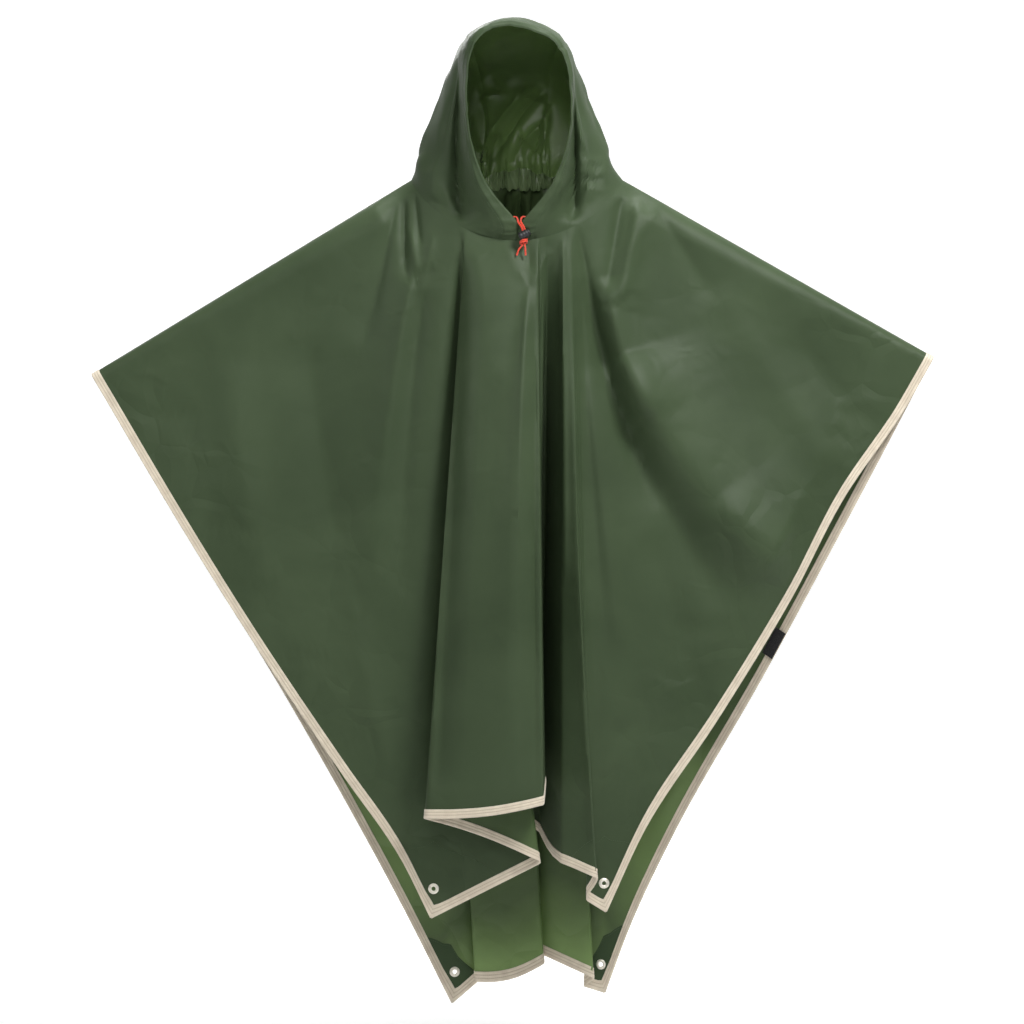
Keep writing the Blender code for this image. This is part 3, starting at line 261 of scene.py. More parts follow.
FRONT_CREASES = crease_table(      # places are (x, z)
    # left of the pleat
    (-155, -130, -192, -300, -225, -660, 10, 40, 10, 0.3),
    (-138, -170, -170, -330, -178, -660, 10, 34, -9, 0),
    (-78, -110, -92, -420, -122, -1020, 14, 36, -30, 0),
    (-186, -30, -206, -140, -240, -260, 10, 26, -9, 0.3),
    (-172, -20, -171, -80, -170, -140, 7, 9, -11, 0.3),
    (-155, -10, -152, -50, -146, -100, 6, 8, -7, 0.2),
    (-175, -135, -155, -172, -125, -130, 10, 10, -6, 0),
    (-160, -70, -158, -110, -150, -140, 7, 10, 5, 0),
    (-125, -80, -133, -130, -150, -180, 8, 12, 4, 0),
    (-330, -240, -300, -450, -240, -760, 50, 60, -8, 0),
    (-440, -280, -450, -420, -400, -620, 50, 45, 6, 0),
    (-280, -560, -250, -720, -190, -960, 40, 30, 6, 0.2),
    # the pleat
    (26, -165, 6, -380, -1, -960, 12, 24, 13, -0.2),
    (38, -180, 35, -450, 37, -960, 8, 10, -7.5, 0),
    (-26, -300, -34, -600, -48, -960, 18, 26, -5, 0),
    (-10, -98, 6, -136, 24, -166, 8, 8, 3.5, 0.3),
    (60, -104, 46, -136, 30, -166, 7, 8, 3.5, -0.3),
    (26, -90, 27, -118, 28, -142, 14, 10, -5.5, 0),
    (-60, -100, -30, -230, -50, -320, 20, 30, 3, 0),
    # right of the valley
    (80, -80, 81, -300, 83, -640, 7, 9, 9, -0.3),
    (108, -150, 122, -420, 150, -760, 9, 16, -6, 0),
    (104, -60, 140, -300, 235, -520, 10, 30, -12, 0),
    (150, -150, 168, -280, 215, -380, 22, 42, 19, -0.1),
    (185, -270, 240, -445, 470, -665, 65, 140, 38, -0.1),
    (114, -150, 160, -440, 370, -690, 20, 66, -26, 0),
    (330, -500, 400, -590, 520, -670, 50, 60, 15, 0),
    (112, -240, 135, -500, 180, -760, 12, 26, 6, 0),
    (112, -580, 119, -820, 128, -1080, 8, 9, 6, -0.3),
    (200, -780, 250, -820, 300, -800, 12, 16, 5, 0.3),
    (150, -860, 190, -880, 250, -850, 10, 14, -4.5, 0.3),
    (220, -560, 270, -720, 330, -870, 40, 40, -8, 0),
    (204, -16, 190, -110, 168, -200, 18, 26, 15, -0.3),
    (176, -20, 164, -100, 148, -190, 11, 13, -9.5, 0),
    (145, -190, 172, -202, 196, -170, 8, 10, -5, 0),
    (222, -20, 260, -80, 330, -190, 12, 30, -6, 0),
    (330, -160, 420, -330, 560, -500, 50, 40, 7, 0),
    (450, -230, 520, -330, 590, -420, 30, 25, -6, 0),
    # crumpled stretches near the side edges
    (-600, -360, -560, -380, -500, -360, 10, 14, -3.5, 0.3),
    (-560, -400, -520, -440, -470, -430, 10, 12, 3, 0.3),
    (-500, -560, -450, -540, -400, -570, 12, 14, -3.5, -0.3),
    (-460, -610, -420, -640, -360, -620, 12, 16, 3, 0),
    (-380, -760, -340, -740, -280, -770, 12, 16, -3.5, 0.3),
    (-290, -890, -250, -900, -200, -880, 10, 14, -3, 0.2),
    (500, -390, 540, -420, 610, -400, 10, 13, -4.5, 0.3),
    (480, -440, 530, -470, 570, -500, 11, 13, -4.5, 0.4),
    (520, -350, 560, -345, 620, -360, 10, 12, 3.5, 0),
    (260, -700, 310, -720, 370, -700, 10, 14, -4, 0.3),
    (280, -760, 330, -770, 360, -800, 10, 14, 4, 0.3),
    (170, -915, 200, -950, 240, -990, 12, 14, 5, 0.5),
    (190, -990, 220, -960, 260, -950, 10, 12, -5, 0.3),
    (-210, -1020, -180, -1040, -150, -1030, 10, 12, -3, 0.3),
)
BACK_CREASES = crease_table(       # places are (x, z) as well
    (-170, -30, -215, -250, -250, -640, 10, 45, -16, 0.2),
    (-205, -40, -290, -240, -360, -520, 10, 45, 12.8, 0),
    (-330, -200, -420, -360, -440, -560, 40, 45, -11.2, 0),
    (-480, -270, -520, -370, -500, -480, 30, 35, 8, 0),
    (-240, -560, -230, -760, -190, -1000, 35, 30, 12.8, 0.2),
    (-300, -700, -270, -860, -190, -1080, 30, 25, -11.2, 0),
    (178, -30, 225, -260, 270, -600, 10, 45, -17.6, 0.2),
    (215, -40, 310, -220, 380, -500, 10, 45, 12.8, 0),
    (350, -190, 440, -330, 470, -530, 40, 45, -12.8, 0),
    (490, -250, 550, -350, 540, -440, 30, 30, 8, 0),
    (280, -560, 290, -740, 240, -960, 35, 30, 11.2, -0.2),
    (330, -660, 310, -820, 240, -1060, 30, 25, -11.2, 0),
    (-560, -360, -520, -400, -470, -380, 11, 13, -6.4, 0.3),
    (-420, -620, -380, -610, -330, -640, 12, 15, -6.4, 0.3),
    (-350, -820, -300, -800, -260, -830, 12, 14, 5.6, 0),
    (480, -400, 530, -410, 580, -380, 11, 13, -7.2, 0.3),
    (400, -640, 430, -600, 470, -590, 12, 15, 6.4, 0),
    (300, -860, 330, -830, 370, -840, 12, 14, -6.4, 0.3),
    (-35, 6, -30, -30, -40, -80, 5, 11, -16, 0.2),
    (-8, 6, -10, -30, -18, -70, 4, 8, 10, 0),
    (12, 6, 16, -30, 10, -70, 4, 10, -18, -0.2),
    (34, 6, 32, -30, 30, -75, 4, 8, 11, 0),
    (52, 6, 50, -35, 58, -85, 5, 11, -15, 0.2),
)
HOOD_FRONT_CREASES = crease_table(   # places are (x, z), on the part in front of the ears
    (-79, 205, -97, 75, -82, -65, 10, 15, -36, 0),
    (95, 150, 104, 45, 98, -65, 8, 13, -36, 0),
    (-106, 150, -128, 45, -124, -30, 14, 16, 20, 0),
    (118, 110, 124, 40, 120, -30, 8, 11, 12, 0),
    (-100, 20, -96, -20, -78, -50, 4, 5, -4, 0.2),
    (-112, 0, -100, -30, -84, -52, 4, 5, 3.5, 0.2),
    (-140, -10, -120, -35, -100, -42, 4, 4, -3.5, 0.3),
    (112, 60, 122, 30, 140, 20, 6, 7, -9, 0.2),
    (118, 34, 132, 44, 146, 36, 5, 6, 8, 0.2),
    (112, 10, 128, 0, 150, 12, 6, 6, -9, 0.2),
    (118, -6, 140, -12, 165, -6, 5, 6, 7, 0.2),
    (108, 80, 116, 50, 124, 30, 5, 7, 5, 0.3),
    (94, 0, 98, -30, 94, -60, 4, 5, -4, 0.2),
    (-60, 215, -66, 190, -70, 160, 5, 6, -3, 0),
)
HOOD_BACK_CREASES = crease_table(    # places are (x, z), on the part behind the ears
    (-60, 180, -40, 120, -50, 60, 8, 10, -9, 0.3),
    (60, 175, 10, 130, -40, 40, 9, 11, -12, 0.3),
    (50, 140, 45, 90, 30, 60, 6, 9, 9, 0.3),
    (30, 180, -20, 140, -50, 70, 7, 10, 9, 0),
    (64, 130, 30, 100, 0, 45, 7, 10, -10, 0),
    (64, 150, 58, 100, 52, 50, 6, 8, -9, 0.2),
    (10, 110, 20, 70, 50, 60, 7, 7, -7.5, 0.3),
    (-66, 130, -70, 90, -50, 70, 5, 6, 9, 0.2),
    (-20, 100, -40, 60, -52, 20, 8, 8, -9, 0.2),
    (-60, 150, 0, 186, 64, 140, 10, 12, 10, 0.2),
    (-40, 192, -10, 150, 30, 170, 10, 10, -8, 0.2),
)
HOOD_SIDE_CREASES = crease_table(    # places are (y, z), the same on both sides
    (-70, 200, -50, 120, -45, 20, 14, 16, -6, 0.2),
    (-10, 190, 10, 110, -5, 50, 16, 14, 6, 0),
    (60, 190, 45, 130, 30, 70, 14, 12, -6, 0.2),
    (90, 150, 60, 110, 50, 60, 9, 10, 4.5, 0.2),
)


# ------------------------------------------------------------------ helpers
def lerp(a, b, share):
    """Value at a share of the way from a to b."""
    return np.asarray(a, float) * (1 - share) + np.asarray(b, float) * share


def unit(vectors):
    """Vectors at length 1, along the last axis."""
    return vectors / np.maximum(np.linalg.norm(vectors, axis=-1, keepdims=True), 1e-12)


def smooth_table(rows, x):
    """Values at x of a smooth curve through (x, value) rows."""
    xs, ys = np.array(rows, float).T
    slopes = np.gradient(ys, xs)
    x = np.asarray(x, float)
    i = np.clip(np.searchsorted(xs, x) - 1, 0, len(xs) - 2)
    width = xs[i + 1] - xs[i]
    t = (x - xs[i]) / width
    return ((2 * t ** 3 - 3 * t ** 2 + 1) * ys[i] + (t ** 3 - 2 * t ** 2 + t) * width * slopes[i]
            + (3 * t ** 2 - 2 * t ** 3) * ys[i + 1] + (t ** 3 - t ** 2) * width * slopes[i + 1])


def travel(points):
    """Distances along a line of points, from its start."""
    return np.concatenate([[0], np.cumsum(np.linalg.norm(np.diff(points, axis=0), axis=1))])


def square_to(axis):
    """Two unit vectors square to an axis and to each other."""
    first = unit(np.cross(axis, (0.31, 0.17, 0.93)))
    return first, np.cross(axis, first)


def catmull_rom(points, steps):
    """Points on a smooth curve through the given ones, steps to each span."""
    p = np.asarray(points, float)
    p = np.concatenate([[2 * p[0] - p[1]], p, [2 * p[-1] - p[-2]]])
    out = []
    for i in range(1, len(p) - 2):
        for t in np.arange(steps) / steps:
            out.append(0.5 * (2 * p[i] + (p[i + 1] - p[i - 1]) * t
                              + (2 * p[i - 1] - 5 * p[i] + 4 * p[i + 1] - p[i + 2]) * t ** 2
                              + (3 * p[i] - p[i - 1] - 3 * p[i + 1] + p[i + 2]) * t ** 3))
    out.append(p[-2])
    return np.array(out)


def relief(across, up, creases):
    """Height of all the creases over places of the cloth."""
    height = np.zeros_like(across)
    for crease in creases:
        t = np.linspace(0, 1, 13)
        line_x = (1 - t) ** 2 * crease.xa + 2 * t * (1 - t) * crease.xb + t * t * crease.xc
        line_z = (1 - t) ** 2 * crease.za + 2 * t * (1 - t) * crease.zb + t * t * crease.zc
        nearest = np.full(across.shape, 1e9)
        side = np.zeros_like(across)
        share = np.zeros_like(across)
        for k in range(len(t) - 1):
            dx, dz = line_x[k + 1] - line_x[k], line_z[k + 1] - line_z[k]
            px, pz = across - line_x[k], up - line_z[k]
            s = np.clip((px * dx + pz * dz) / (dx * dx + dz * dz), 0, 1)
            distance = np.hypot(px - s * dx, pz - s * dz)
            closer = distance < nearest
            nearest = np.where(closer, distance, nearest)
            side = np.where(closer, np.sign(px * dz - pz * dx), side)
            share = np.where(closer, (k + s) / (len(t) - 1), share)
        width = lerp(crease.width_a, crease.width_b, share) * (1 + crease.lean * side)
        fade = 1 - np.abs(2 * share - 1) ** 5
        away = np.sqrt((nearest / width) ** 2 + 0.06) - math.sqrt(0.06)
        height += crease.height * np.exp(-1.5 * away) * fade
    return height


def ripple(x, z, size, seed):
    """Slow unevenness between -1 and 1, waves of about the given size."""
    total = np.zeros_like(x)
    for k in range(5):
        angle = seed * 1.7 + k * 2.4
        pace = math.tau / (size * (0.7 + 0.25 * k))
        total += np.sin((x * math.cos(angle) + z * math.sin(angle)) * pace + seed * 3.1 + k * 1.9)
    return total / 5


# ------------------------------------------------------------------ meshes
def add_mesh(name, points, faces, materials, indices=None, uv=None):
    """An object of the given faces, smooth but for sharp edges."""
    mesh = bpy.data.meshes.new(name)
    mesh.from_pydata(points, [], faces)
    for material in materials:
        mesh.materials.append(material)
    if indices is not None:
        mesh.polygons.foreach_set("material_index", np.asarray(indices, dtype=np.int32))
    if uv is not None:
        corners = np.empty(len(mesh.loops), dtype=np.int32)
        mesh.loops.foreach_get("vertex_index", corners)
        layer = mesh.uv_layers.new(name="flat")
        layer.data.foreach_set("uv", np.asarray(uv, dtype=np.float32)[corners].ravel())
    mesh.validate()
    mesh.shade_smooth()
    mesh.set_sharp_from_angle(angle=math.radians(SHARP_EDGE))
    made = bpy.data.objects.new(name, mesh)
    bpy.context.scene.collection.objects.link(made)
    return made


def ring_faces(rings, size, start=0, capped=True, flip=False):
    """Faces between rings of points stored one after another, and over both ends."""
    faces = []
    for near in range(start, start + (rings - 1) * size, size):
        for k in range(size):
            n = (k + 1) % size
            face = (near + k, near + n, near + size + n, near + size + k)
            faces.append((face[0], *face[:0:-1]) if flip else face)
    if capped:
        last = start + (rings - 1) * size
        ends = [tuple(range(start, start + size))[::-1], tuple(range(last, last + size))]
        faces += [end[::-1] for end in ends] if flip else ends
    return faces


def grid_faces(columns, rows, start, closed=False, flip=False):
    """Triangles between the points of a grid that is stored row after row in each column."""
    i = np.arange(columns if closed else columns - 1)
    j = np.arange(rows - 1)
    a = (i[:, None] * rows + j[None]).ravel() + start
    b = (((i[:, None] + 1) % columns) * rows + j[None]).ravel() + start
    triangles = np.concatenate([np.stack([a, b, b + 1], axis=-1),
                                np.stack([a, b + 1, a + 1], axis=-1)])
    return triangles[:, ::-1] if flip else triangles


def shell(name, points, normals, materials, uv=None, closed=False, thickness=CLOTH):
    """A thin closed shell round a grid: its outer face, its inner face and its rim."""
    columns, rows = points.shape[:2]
    count = columns * rows
    outer = (points + normals * thickness / 2).reshape(-1, 3)
    inner = (points - normals * thickness / 2).reshape(-1, 3)
    sides = [grid_faces(columns, rows, 0, closed), grid_faces(columns, rows, count, closed, True)]
    rim = []
    for j, turn in ((0, 1), (rows - 1, -1)):
        line = np.arange(columns) * rows + j
        pairs = zip(line, np.roll(line, -1)) if closed else zip(line[:-1], line[1:])
        rim += [(a, a + count, b + count, b)[::turn] for a, b in pairs]
    if not closed:
        for i, turn in ((0, -1), (columns - 1, 1)):
            line = i * rows + np.arange(rows)
            rim += [(a, a + count, b + count, b)[::turn] for a, b in zip(line[:-1], line[1:])]
    faces = [tuple(map(int, f)) for part in (*sides, rim) for f in part]
    indices = [0] * len(sides[0]) + [1] * len(sides[1]) + [0] * len(rim)
    uv = None if uv is None else np.concatenate([uv.reshape(-1, 2)] * 2)
    return add_mesh(name, np.concatenate([outer, inner]), faces, materials, indices, uv)


def grid_normals(points, closed=False):
    """Normals of a grid of points, across its columns and rows."""
    if closed:
        along = np.roll(points, -1, axis=0) - np.roll(points, 1, axis=0)
    else:
        along = np.gradient(points, axis=0)
    return unit(np.cross(along, np.gradient(points, axis=1)))


def tube(points, radius, steps):
    """Rings of points round a line, each a full circle."""
    points = np.asarray(points, float)
    ways = unit(np.gradient(points, axis=0))
    side = unit(np.cross(ways[0], (0.3, 0.9, 0.1)))
    rings = []
    for point, way in zip(points, ways):
        side = unit(side - way * (side @ way))
        other = np.cross(way, side)
        turn = np.arange(steps) * math.tau / steps
        circle = np.outer(np.cos(turn), side) + np.outer(np.sin(turn), other)
        rings.append(point + radius * circle)
    return np.array(rings)


def add_tube(name, points, radius, material, steps):
    """A closed round cord along a line, its uv along and round it in metres."""
    rings = tube(points, radius, steps)
    uv = [(along, k * math.tau * radius / steps) for along in travel(points) for k in range(steps)]
    return add_mesh(name, rings.reshape(-1, 3), ring_faces(len(rings), steps), [material], uv=uv)


# ------------------------------------------------------------------ materials
class Look:
    """A procedural material that is being wired up."""

    def __init__(self, name, **sockets):
        self.material = bpy.data.materials.new(name)
        self.material.use_nodes = True
        self.tree = self.material.node_tree
        self.shader = self.tree.nodes["Principled BSDF"]
        for socket, value in sockets.items():
            self.feed(self.shader, socket, value)
        self.space = self.node("ShaderNodeTexCoord")

    def feed(self, node, key, value):
        """Sets an input, known by name or as i and its number, or links a socket to it.

        A colour is given by its linear red, green and blue.
        """
        numbered = key[0] == "i" and key[1:].isdigit()
        socket = node.inputs[int(key[1:]) if numbered else key.replace("_", " ")]
        if isinstance(value, bpy.types.NodeSocket):
            self.tree.links.new(value, socket)
        else:
            socket.default_value = (*value, 1.0) if socket.type == "RGBA" else value

    def node(self, kind, **inputs):
        """A node with its inputs fed."""
        made = self.tree.nodes.new(kind)
        for key, value in inputs.items():
            self.feed(made, key, value)
        return made

    def calc(self, operation, a, b=0.0):
        """Result of a sum on numbers or sockets."""
        made = self.node("ShaderNodeMath", i0=a, i1=b)
        made.operation = operation
        return made.outputs[0]

    def times(self, a, b):
        """Product of two numbers or sockets."""
        return self.calc("MULTIPLY", a, b)

    def wave(self, length, pitch):
        """Sine wave over a length in metres."""
        return self.calc("SINE", self.times(length, math.tau / pitch))

    def noise(self, scale, detail=3.0, roughness=0.5, distortion=0.0, kind="FBM"):
        """Noise over the object, scale in waves a metre."""
        made = self.node("ShaderNodeTexNoise", Vector=self.space.outputs["Object"], Scale=scale,
                         Detail=detail, Roughness=roughness, Distortion=distortion)
        made.noise_type = kind
        return made.outputs["Fac"]

    def ramp(self, factor, low, high, to_low=0.0, to_high=1.0):
        """A number moved from one range to another, held at its ends."""
        made = self.node("ShaderNodeMapRange", Value=factor, From_Min=low, From_Max=high,
                         To_Min=to_low, To_Max=to_high)
        return made.outputs[0]

    def blend(self, factor, first, second):
        """Mix of two colours."""
        made = self.tree.nodes.new("ShaderNodeMix")
        made.data_type = "RGBA"
        for key, value in (("i0", factor), ("i6", first), ("i7", second)):
            self.feed(made, key, value)
        return made.outputs[2]

    def bump(self, height, distance, strength=1.0, normal=None):
        """A bump on top of another one."""
        made = self.node("ShaderNodeBump", Height=height, Distance=distance, Strength=strength)
        if normal is not None:
            self.tree.links.new(normal, made.inputs["Normal"])
        return made.outputs[0]

    def set(self, socket, value):
        """Links a result to the shader."""
        self.tree.links.new(value, self.shader.inputs[socket])

    def finish(self, share, first, second, roughness=None, height=None, distance=0.0):
        """The material, coloured by a share between two colours, rough and bumpy."""
        self.set("Base Color", self.blend(share, first, second))
        if roughness is not None:
            self.set("Roughness", roughness)
        if height is not None:
            self.set("Normal", self.bump(height, distance))
        return self.material


def cloth_look(name, dark, light, roughness, crumple=1.0, gloss=0.17, painted_through_light=None):
    """Coated fine-weave cloth, satin and slightly crumpled.

    The last colour, if given, is painted light that stands in for light shining through:
    paler low down and beside the side edges of the back.
    """
    look = Look(name, Specular_IOR_Level=gloss)
    uv = look.space.outputs["UV"]
    mottle = look.ramp(look.noise(5.0, 4.0, 0.55, 0.6), 0.35, 0.68)
    thread = look.node("ShaderNodeTexNoise", Vector=uv, Scale=900.0, Detail=1.0).outputs["Fac"]
    share = look.calc("ADD", look.times(mottle, 0.75), look.times(thread, 0.25))
    base = look.blend(share, dark, light)
    flat = look.node("ShaderNodeSeparateXYZ", Vector=uv)
    across, down = flat.outputs[0], flat.outputs[1]
    off_middle = look.calc("ABSOLUTE", across)
    # painted light: paler low down and beside the back's side edges, for light shining through the
    # cloth
    if painted_through_light is not None:
        low = look.calc("ADD", down, look.times(look.noise(6.0, 2.0), -0.08))
        stretch = look.times(look.ramp(low, -0.74, -0.84), look.ramp(low, -1.14, -1.02))
        painted_light_at_side = look.times(look.ramp(off_middle, 0.645, 0.690, 0.0, 0.75), stretch)
        painted_light_at_hem = look.ramp(low, -1.12, -1.21)
        base = look.blend(look.calc("MAXIMUM", painted_light_at_side, painted_light_at_hem), base, painted_through_light)
    look.set("Base Color", base)
    patchy = look.ramp(look.noise(3.2, 2.0, 0.5), 0.40, 0.62, 0.25, 1.0)
    sharp = look.noise(17.0, 3.0, 0.45, 1.1, "RIDGED_MULTIFRACTAL")
    soft = look.noise(9.0, 2.0, 0.5, 0.8)
    look.set("Roughness", look.calc("ADD", look.times(look.noise(24.0), 0.10), roughness - 0.05))
    creased = look.times(look.times(sharp, patchy), crumple)
    normal = look.bump(look.calc("ADD", creased, look.times(soft, 0.6 * crumple)), 0.0016)
    # facets between crumples, flatter in the middle of the body
    bend = look.node("ShaderNodeTexNoise", Vector=look.space.outputs["Object"], Scale=9.0,
                     Detail=2.0)
    bent = look.node("ShaderNodeVectorMath", i0=bend.outputs["Color"], i1=(0.07, 0.07, 0.07),
                     i2=look.space.outputs["Object"])
    bent.operation = "MULTIPLY_ADD"
    cells = look.node("ShaderNodeTexVoronoi", Vector=bent.outputs[0], Scale=13.0)
    cells.feature = "DISTANCE_TO_EDGE"
    strength = look.times(patchy, look.ramp(off_middle, 0.42, 0.70, 0.30, 1.0))
    facet = look.times(look.ramp(cells.outputs["Distance"], 0.0, 0.22), strength)
    normal = look.bump(facet, 0.0018 * crumple, 1.0, normal)
    weave = look.calc("ADD", look.wave(across, WEAVE_PITCH), look.wave(down, WEAVE_PITCH))
    look.set("Normal", look.bump(weave, 0.00003, 0.5, normal))
    return look.material


def tape_look():
    """Folded woven binding: ribs across it and two rows of stitches along it."""
    look = Look("tape", Specular_IOR_Level=0.25, Sheen_Weight=0.25, Sheen_Roughness=0.5)
    parts = look.node("ShaderNodeSeparateXYZ", Vector=look.space.outputs["UV"])
    along, across = parts.outputs[0], parts.outputs[1]
    dash = look.ramp(look.wave(along, STITCH_PITCH), -0.5, -0.2)
    rows = None
    for place in (0.33, 0.66):
        gap = look.calc("ABSOLUTE", look.calc("SUBTRACT", across, place * TAPE_WIDTH))
        row = look.ramp(gap, 0.00030, 0.0009, 1.0, 0.0)
        rows = row if rows is None else look.calc("MAXIMUM", rows, row)
    thread = look.times(rows, dash)
    rib = look.wave(along, RIB_PITCH)
    worn = look.ramp(look.noise(60.0, 3.0), 0.35, 0.7)
    base = look.blend(worn, (0.59, 0.515, 0.405), (0.70, 0.625, 0.50))
    # painted shade: darker brown along both rows of stitches, where they sink into the tape
    base_with_groove_shade = look.blend(look.times(rows, 0.55), base, (0.32, 0.25, 0.17))
    raised = look.calc("ADD", look.times(rib, 0.10), look.times(thread, 0.5))
    return look.finish(look.times(thread, 0.45), base_with_groove_shade, (0.58, 0.50, 0.38),
                       look.ramp(worn, 0.0, 1.0, 0.68, 0.80), look.calc("SUBTRACT", raised, rows),
                       0.0003)


def metal_look():
    """Nickel-plated brass, brushed by turning and a little worn."""
    look = Look("eyelet_metal", Metallic=0.75)
    worn = look.ramp(look.noise(220.0, 4.0), 0.4, 0.7)
    return look.finish(worn, (0.72, 0.68, 0.58), (0.90, 0.87, 0.78),
                       look.ramp(worn, 0.0, 1.0, 0.42, 0.56), look.noise(900.0, 2.0), 0.00005)


def loop_look():
    """Black hook-and-loop tape: a dense pile of little loops, darker between them as painted
    shade.
    """
    look = Look("hook_and_loop", Specular_IOR_Level=0.3, Sheen_Weight=0.4, Sheen_Roughness=0.5)
    cells = look.node("ShaderNodeTexVoronoi", Vector=look.space.outputs["Object"], Scale=1100.0)
    # painted shade: lighter on the loops' tops, darker in the gaps between them
    share = look.ramp(cells.outputs["Distance"], 0.0, 0.6)
    return look.finish(share, (0.030, 0.030, 0.033), (0.006, 0.006, 0.007),
                       look.ramp(share, 0.0, 1.0, 0.6, 0.95), cells.outputs["Distance"], -0.0004)


def cord_look():
    """Braided cord: two sets of strands that cross, darker red where they dip as painted shade."""
    look = Look("cord", Specular_IOR_Level=0.35, Sheen_Weight=0.2, Sheen_Roughness=0.4)
    parts = look.node("ShaderNodeSeparateXYZ", Vector=look.space.outputs["UV"])
    along = look.times(parts.outputs[0], math.tau / BRAID_PITCH)
    round_it = look.times(parts.outputs[1], 4.0 / CORD_RADIUS)
    one = look.calc("SINE", look.calc("ADD", along, round_it))
    two = look.calc("SINE", look.calc("SUBTRACT", along, round_it))
    braid_height_and_shade = look.times(one, two)
    # painted shade: darker red where the strands dip, the same pattern that bumps them
    return look.finish(look.ramp(braid_height_and_shade, -1.0, 0.4), (0.50, 0.030, 0.014), (0.90, 0.085, 0.040),
                       look.ramp(look.noise(400.0), 0.3, 0.7, 0.45, 0.62), braid_height_and_shade, 0.0003)


def plastic_look():
    """Moulded black plastic with a fine grain."""
    look = Look("stopper_plastic", Specular_IOR_Level=0.5)
    grain = look.noise(1800.0, 2.0)
    return look.finish(look.ramp(grain, 0.4, 0.6), (0.010, 0.010, 0.011), (0.022, 0.022, 0.024),
                       look.ramp(look.noise(300.0), 0.3, 0.7, 0.40, 0.52), grain, 0.00004)


def thread_look():
    """Sewing thread in the cloth's colour."""
    look = Look("thread", Roughness=0.6, Specular_IOR_Level=0.3)
    twist = look.noise(2500.0, 1.0)
    return look.finish(look.ramp(twist, 0.35, 0.65), (0.030, 0.055, 0.024), (0.075, 0.120, 0.055),
                       height=twist, distance=0.0001)


def floor_look():
    """Matt studio paper that glows, as painted light, where it rises behind the object."""
    look = Look("studio", Roughness=0.9, Specular_IOR_Level=0.1, Emission_Color=(1.0, 1.0, 1.0))
    parts = look.node("ShaderNodeSeparateXYZ", Vector=look.space.outputs["Object"])
    # painted light: the paper glows, from none in front to full behind the object
    look.set("Emission Strength", look.ramp(parts.outputs[1], 0.2, 1.6, 0.0, 0.62))
    grain = look.ramp(look.noise(3.0, 2.0), 0.3, 0.7)
    return look.finish(grain, (0.86, 0.86, 0.86), (0.90, 0.90, 0.90))


# ------------------------------------------------------------------ body
def neck_point(bearing, back):
    """Points of the neck hole at bearings, 0 left, 90 middle, 180 right."""
    angle = np.radians(np.asarray(bearing, float))
    sine = np.maximum(np.sin(angle), 0.0)
    dip = 0.0 if back else NECK_FRONT_DIP * sine ** 1.5
    y = NECK_HALF_DEPTH * sine * (1 if back else -1)
    return np.stack([NECK_CENTRE_X - NECK_HALF_WIDTH * np.cos(angle), y,
                     NECK_HEIGHT - dip + np.zeros_like(angle)], axis=-1)


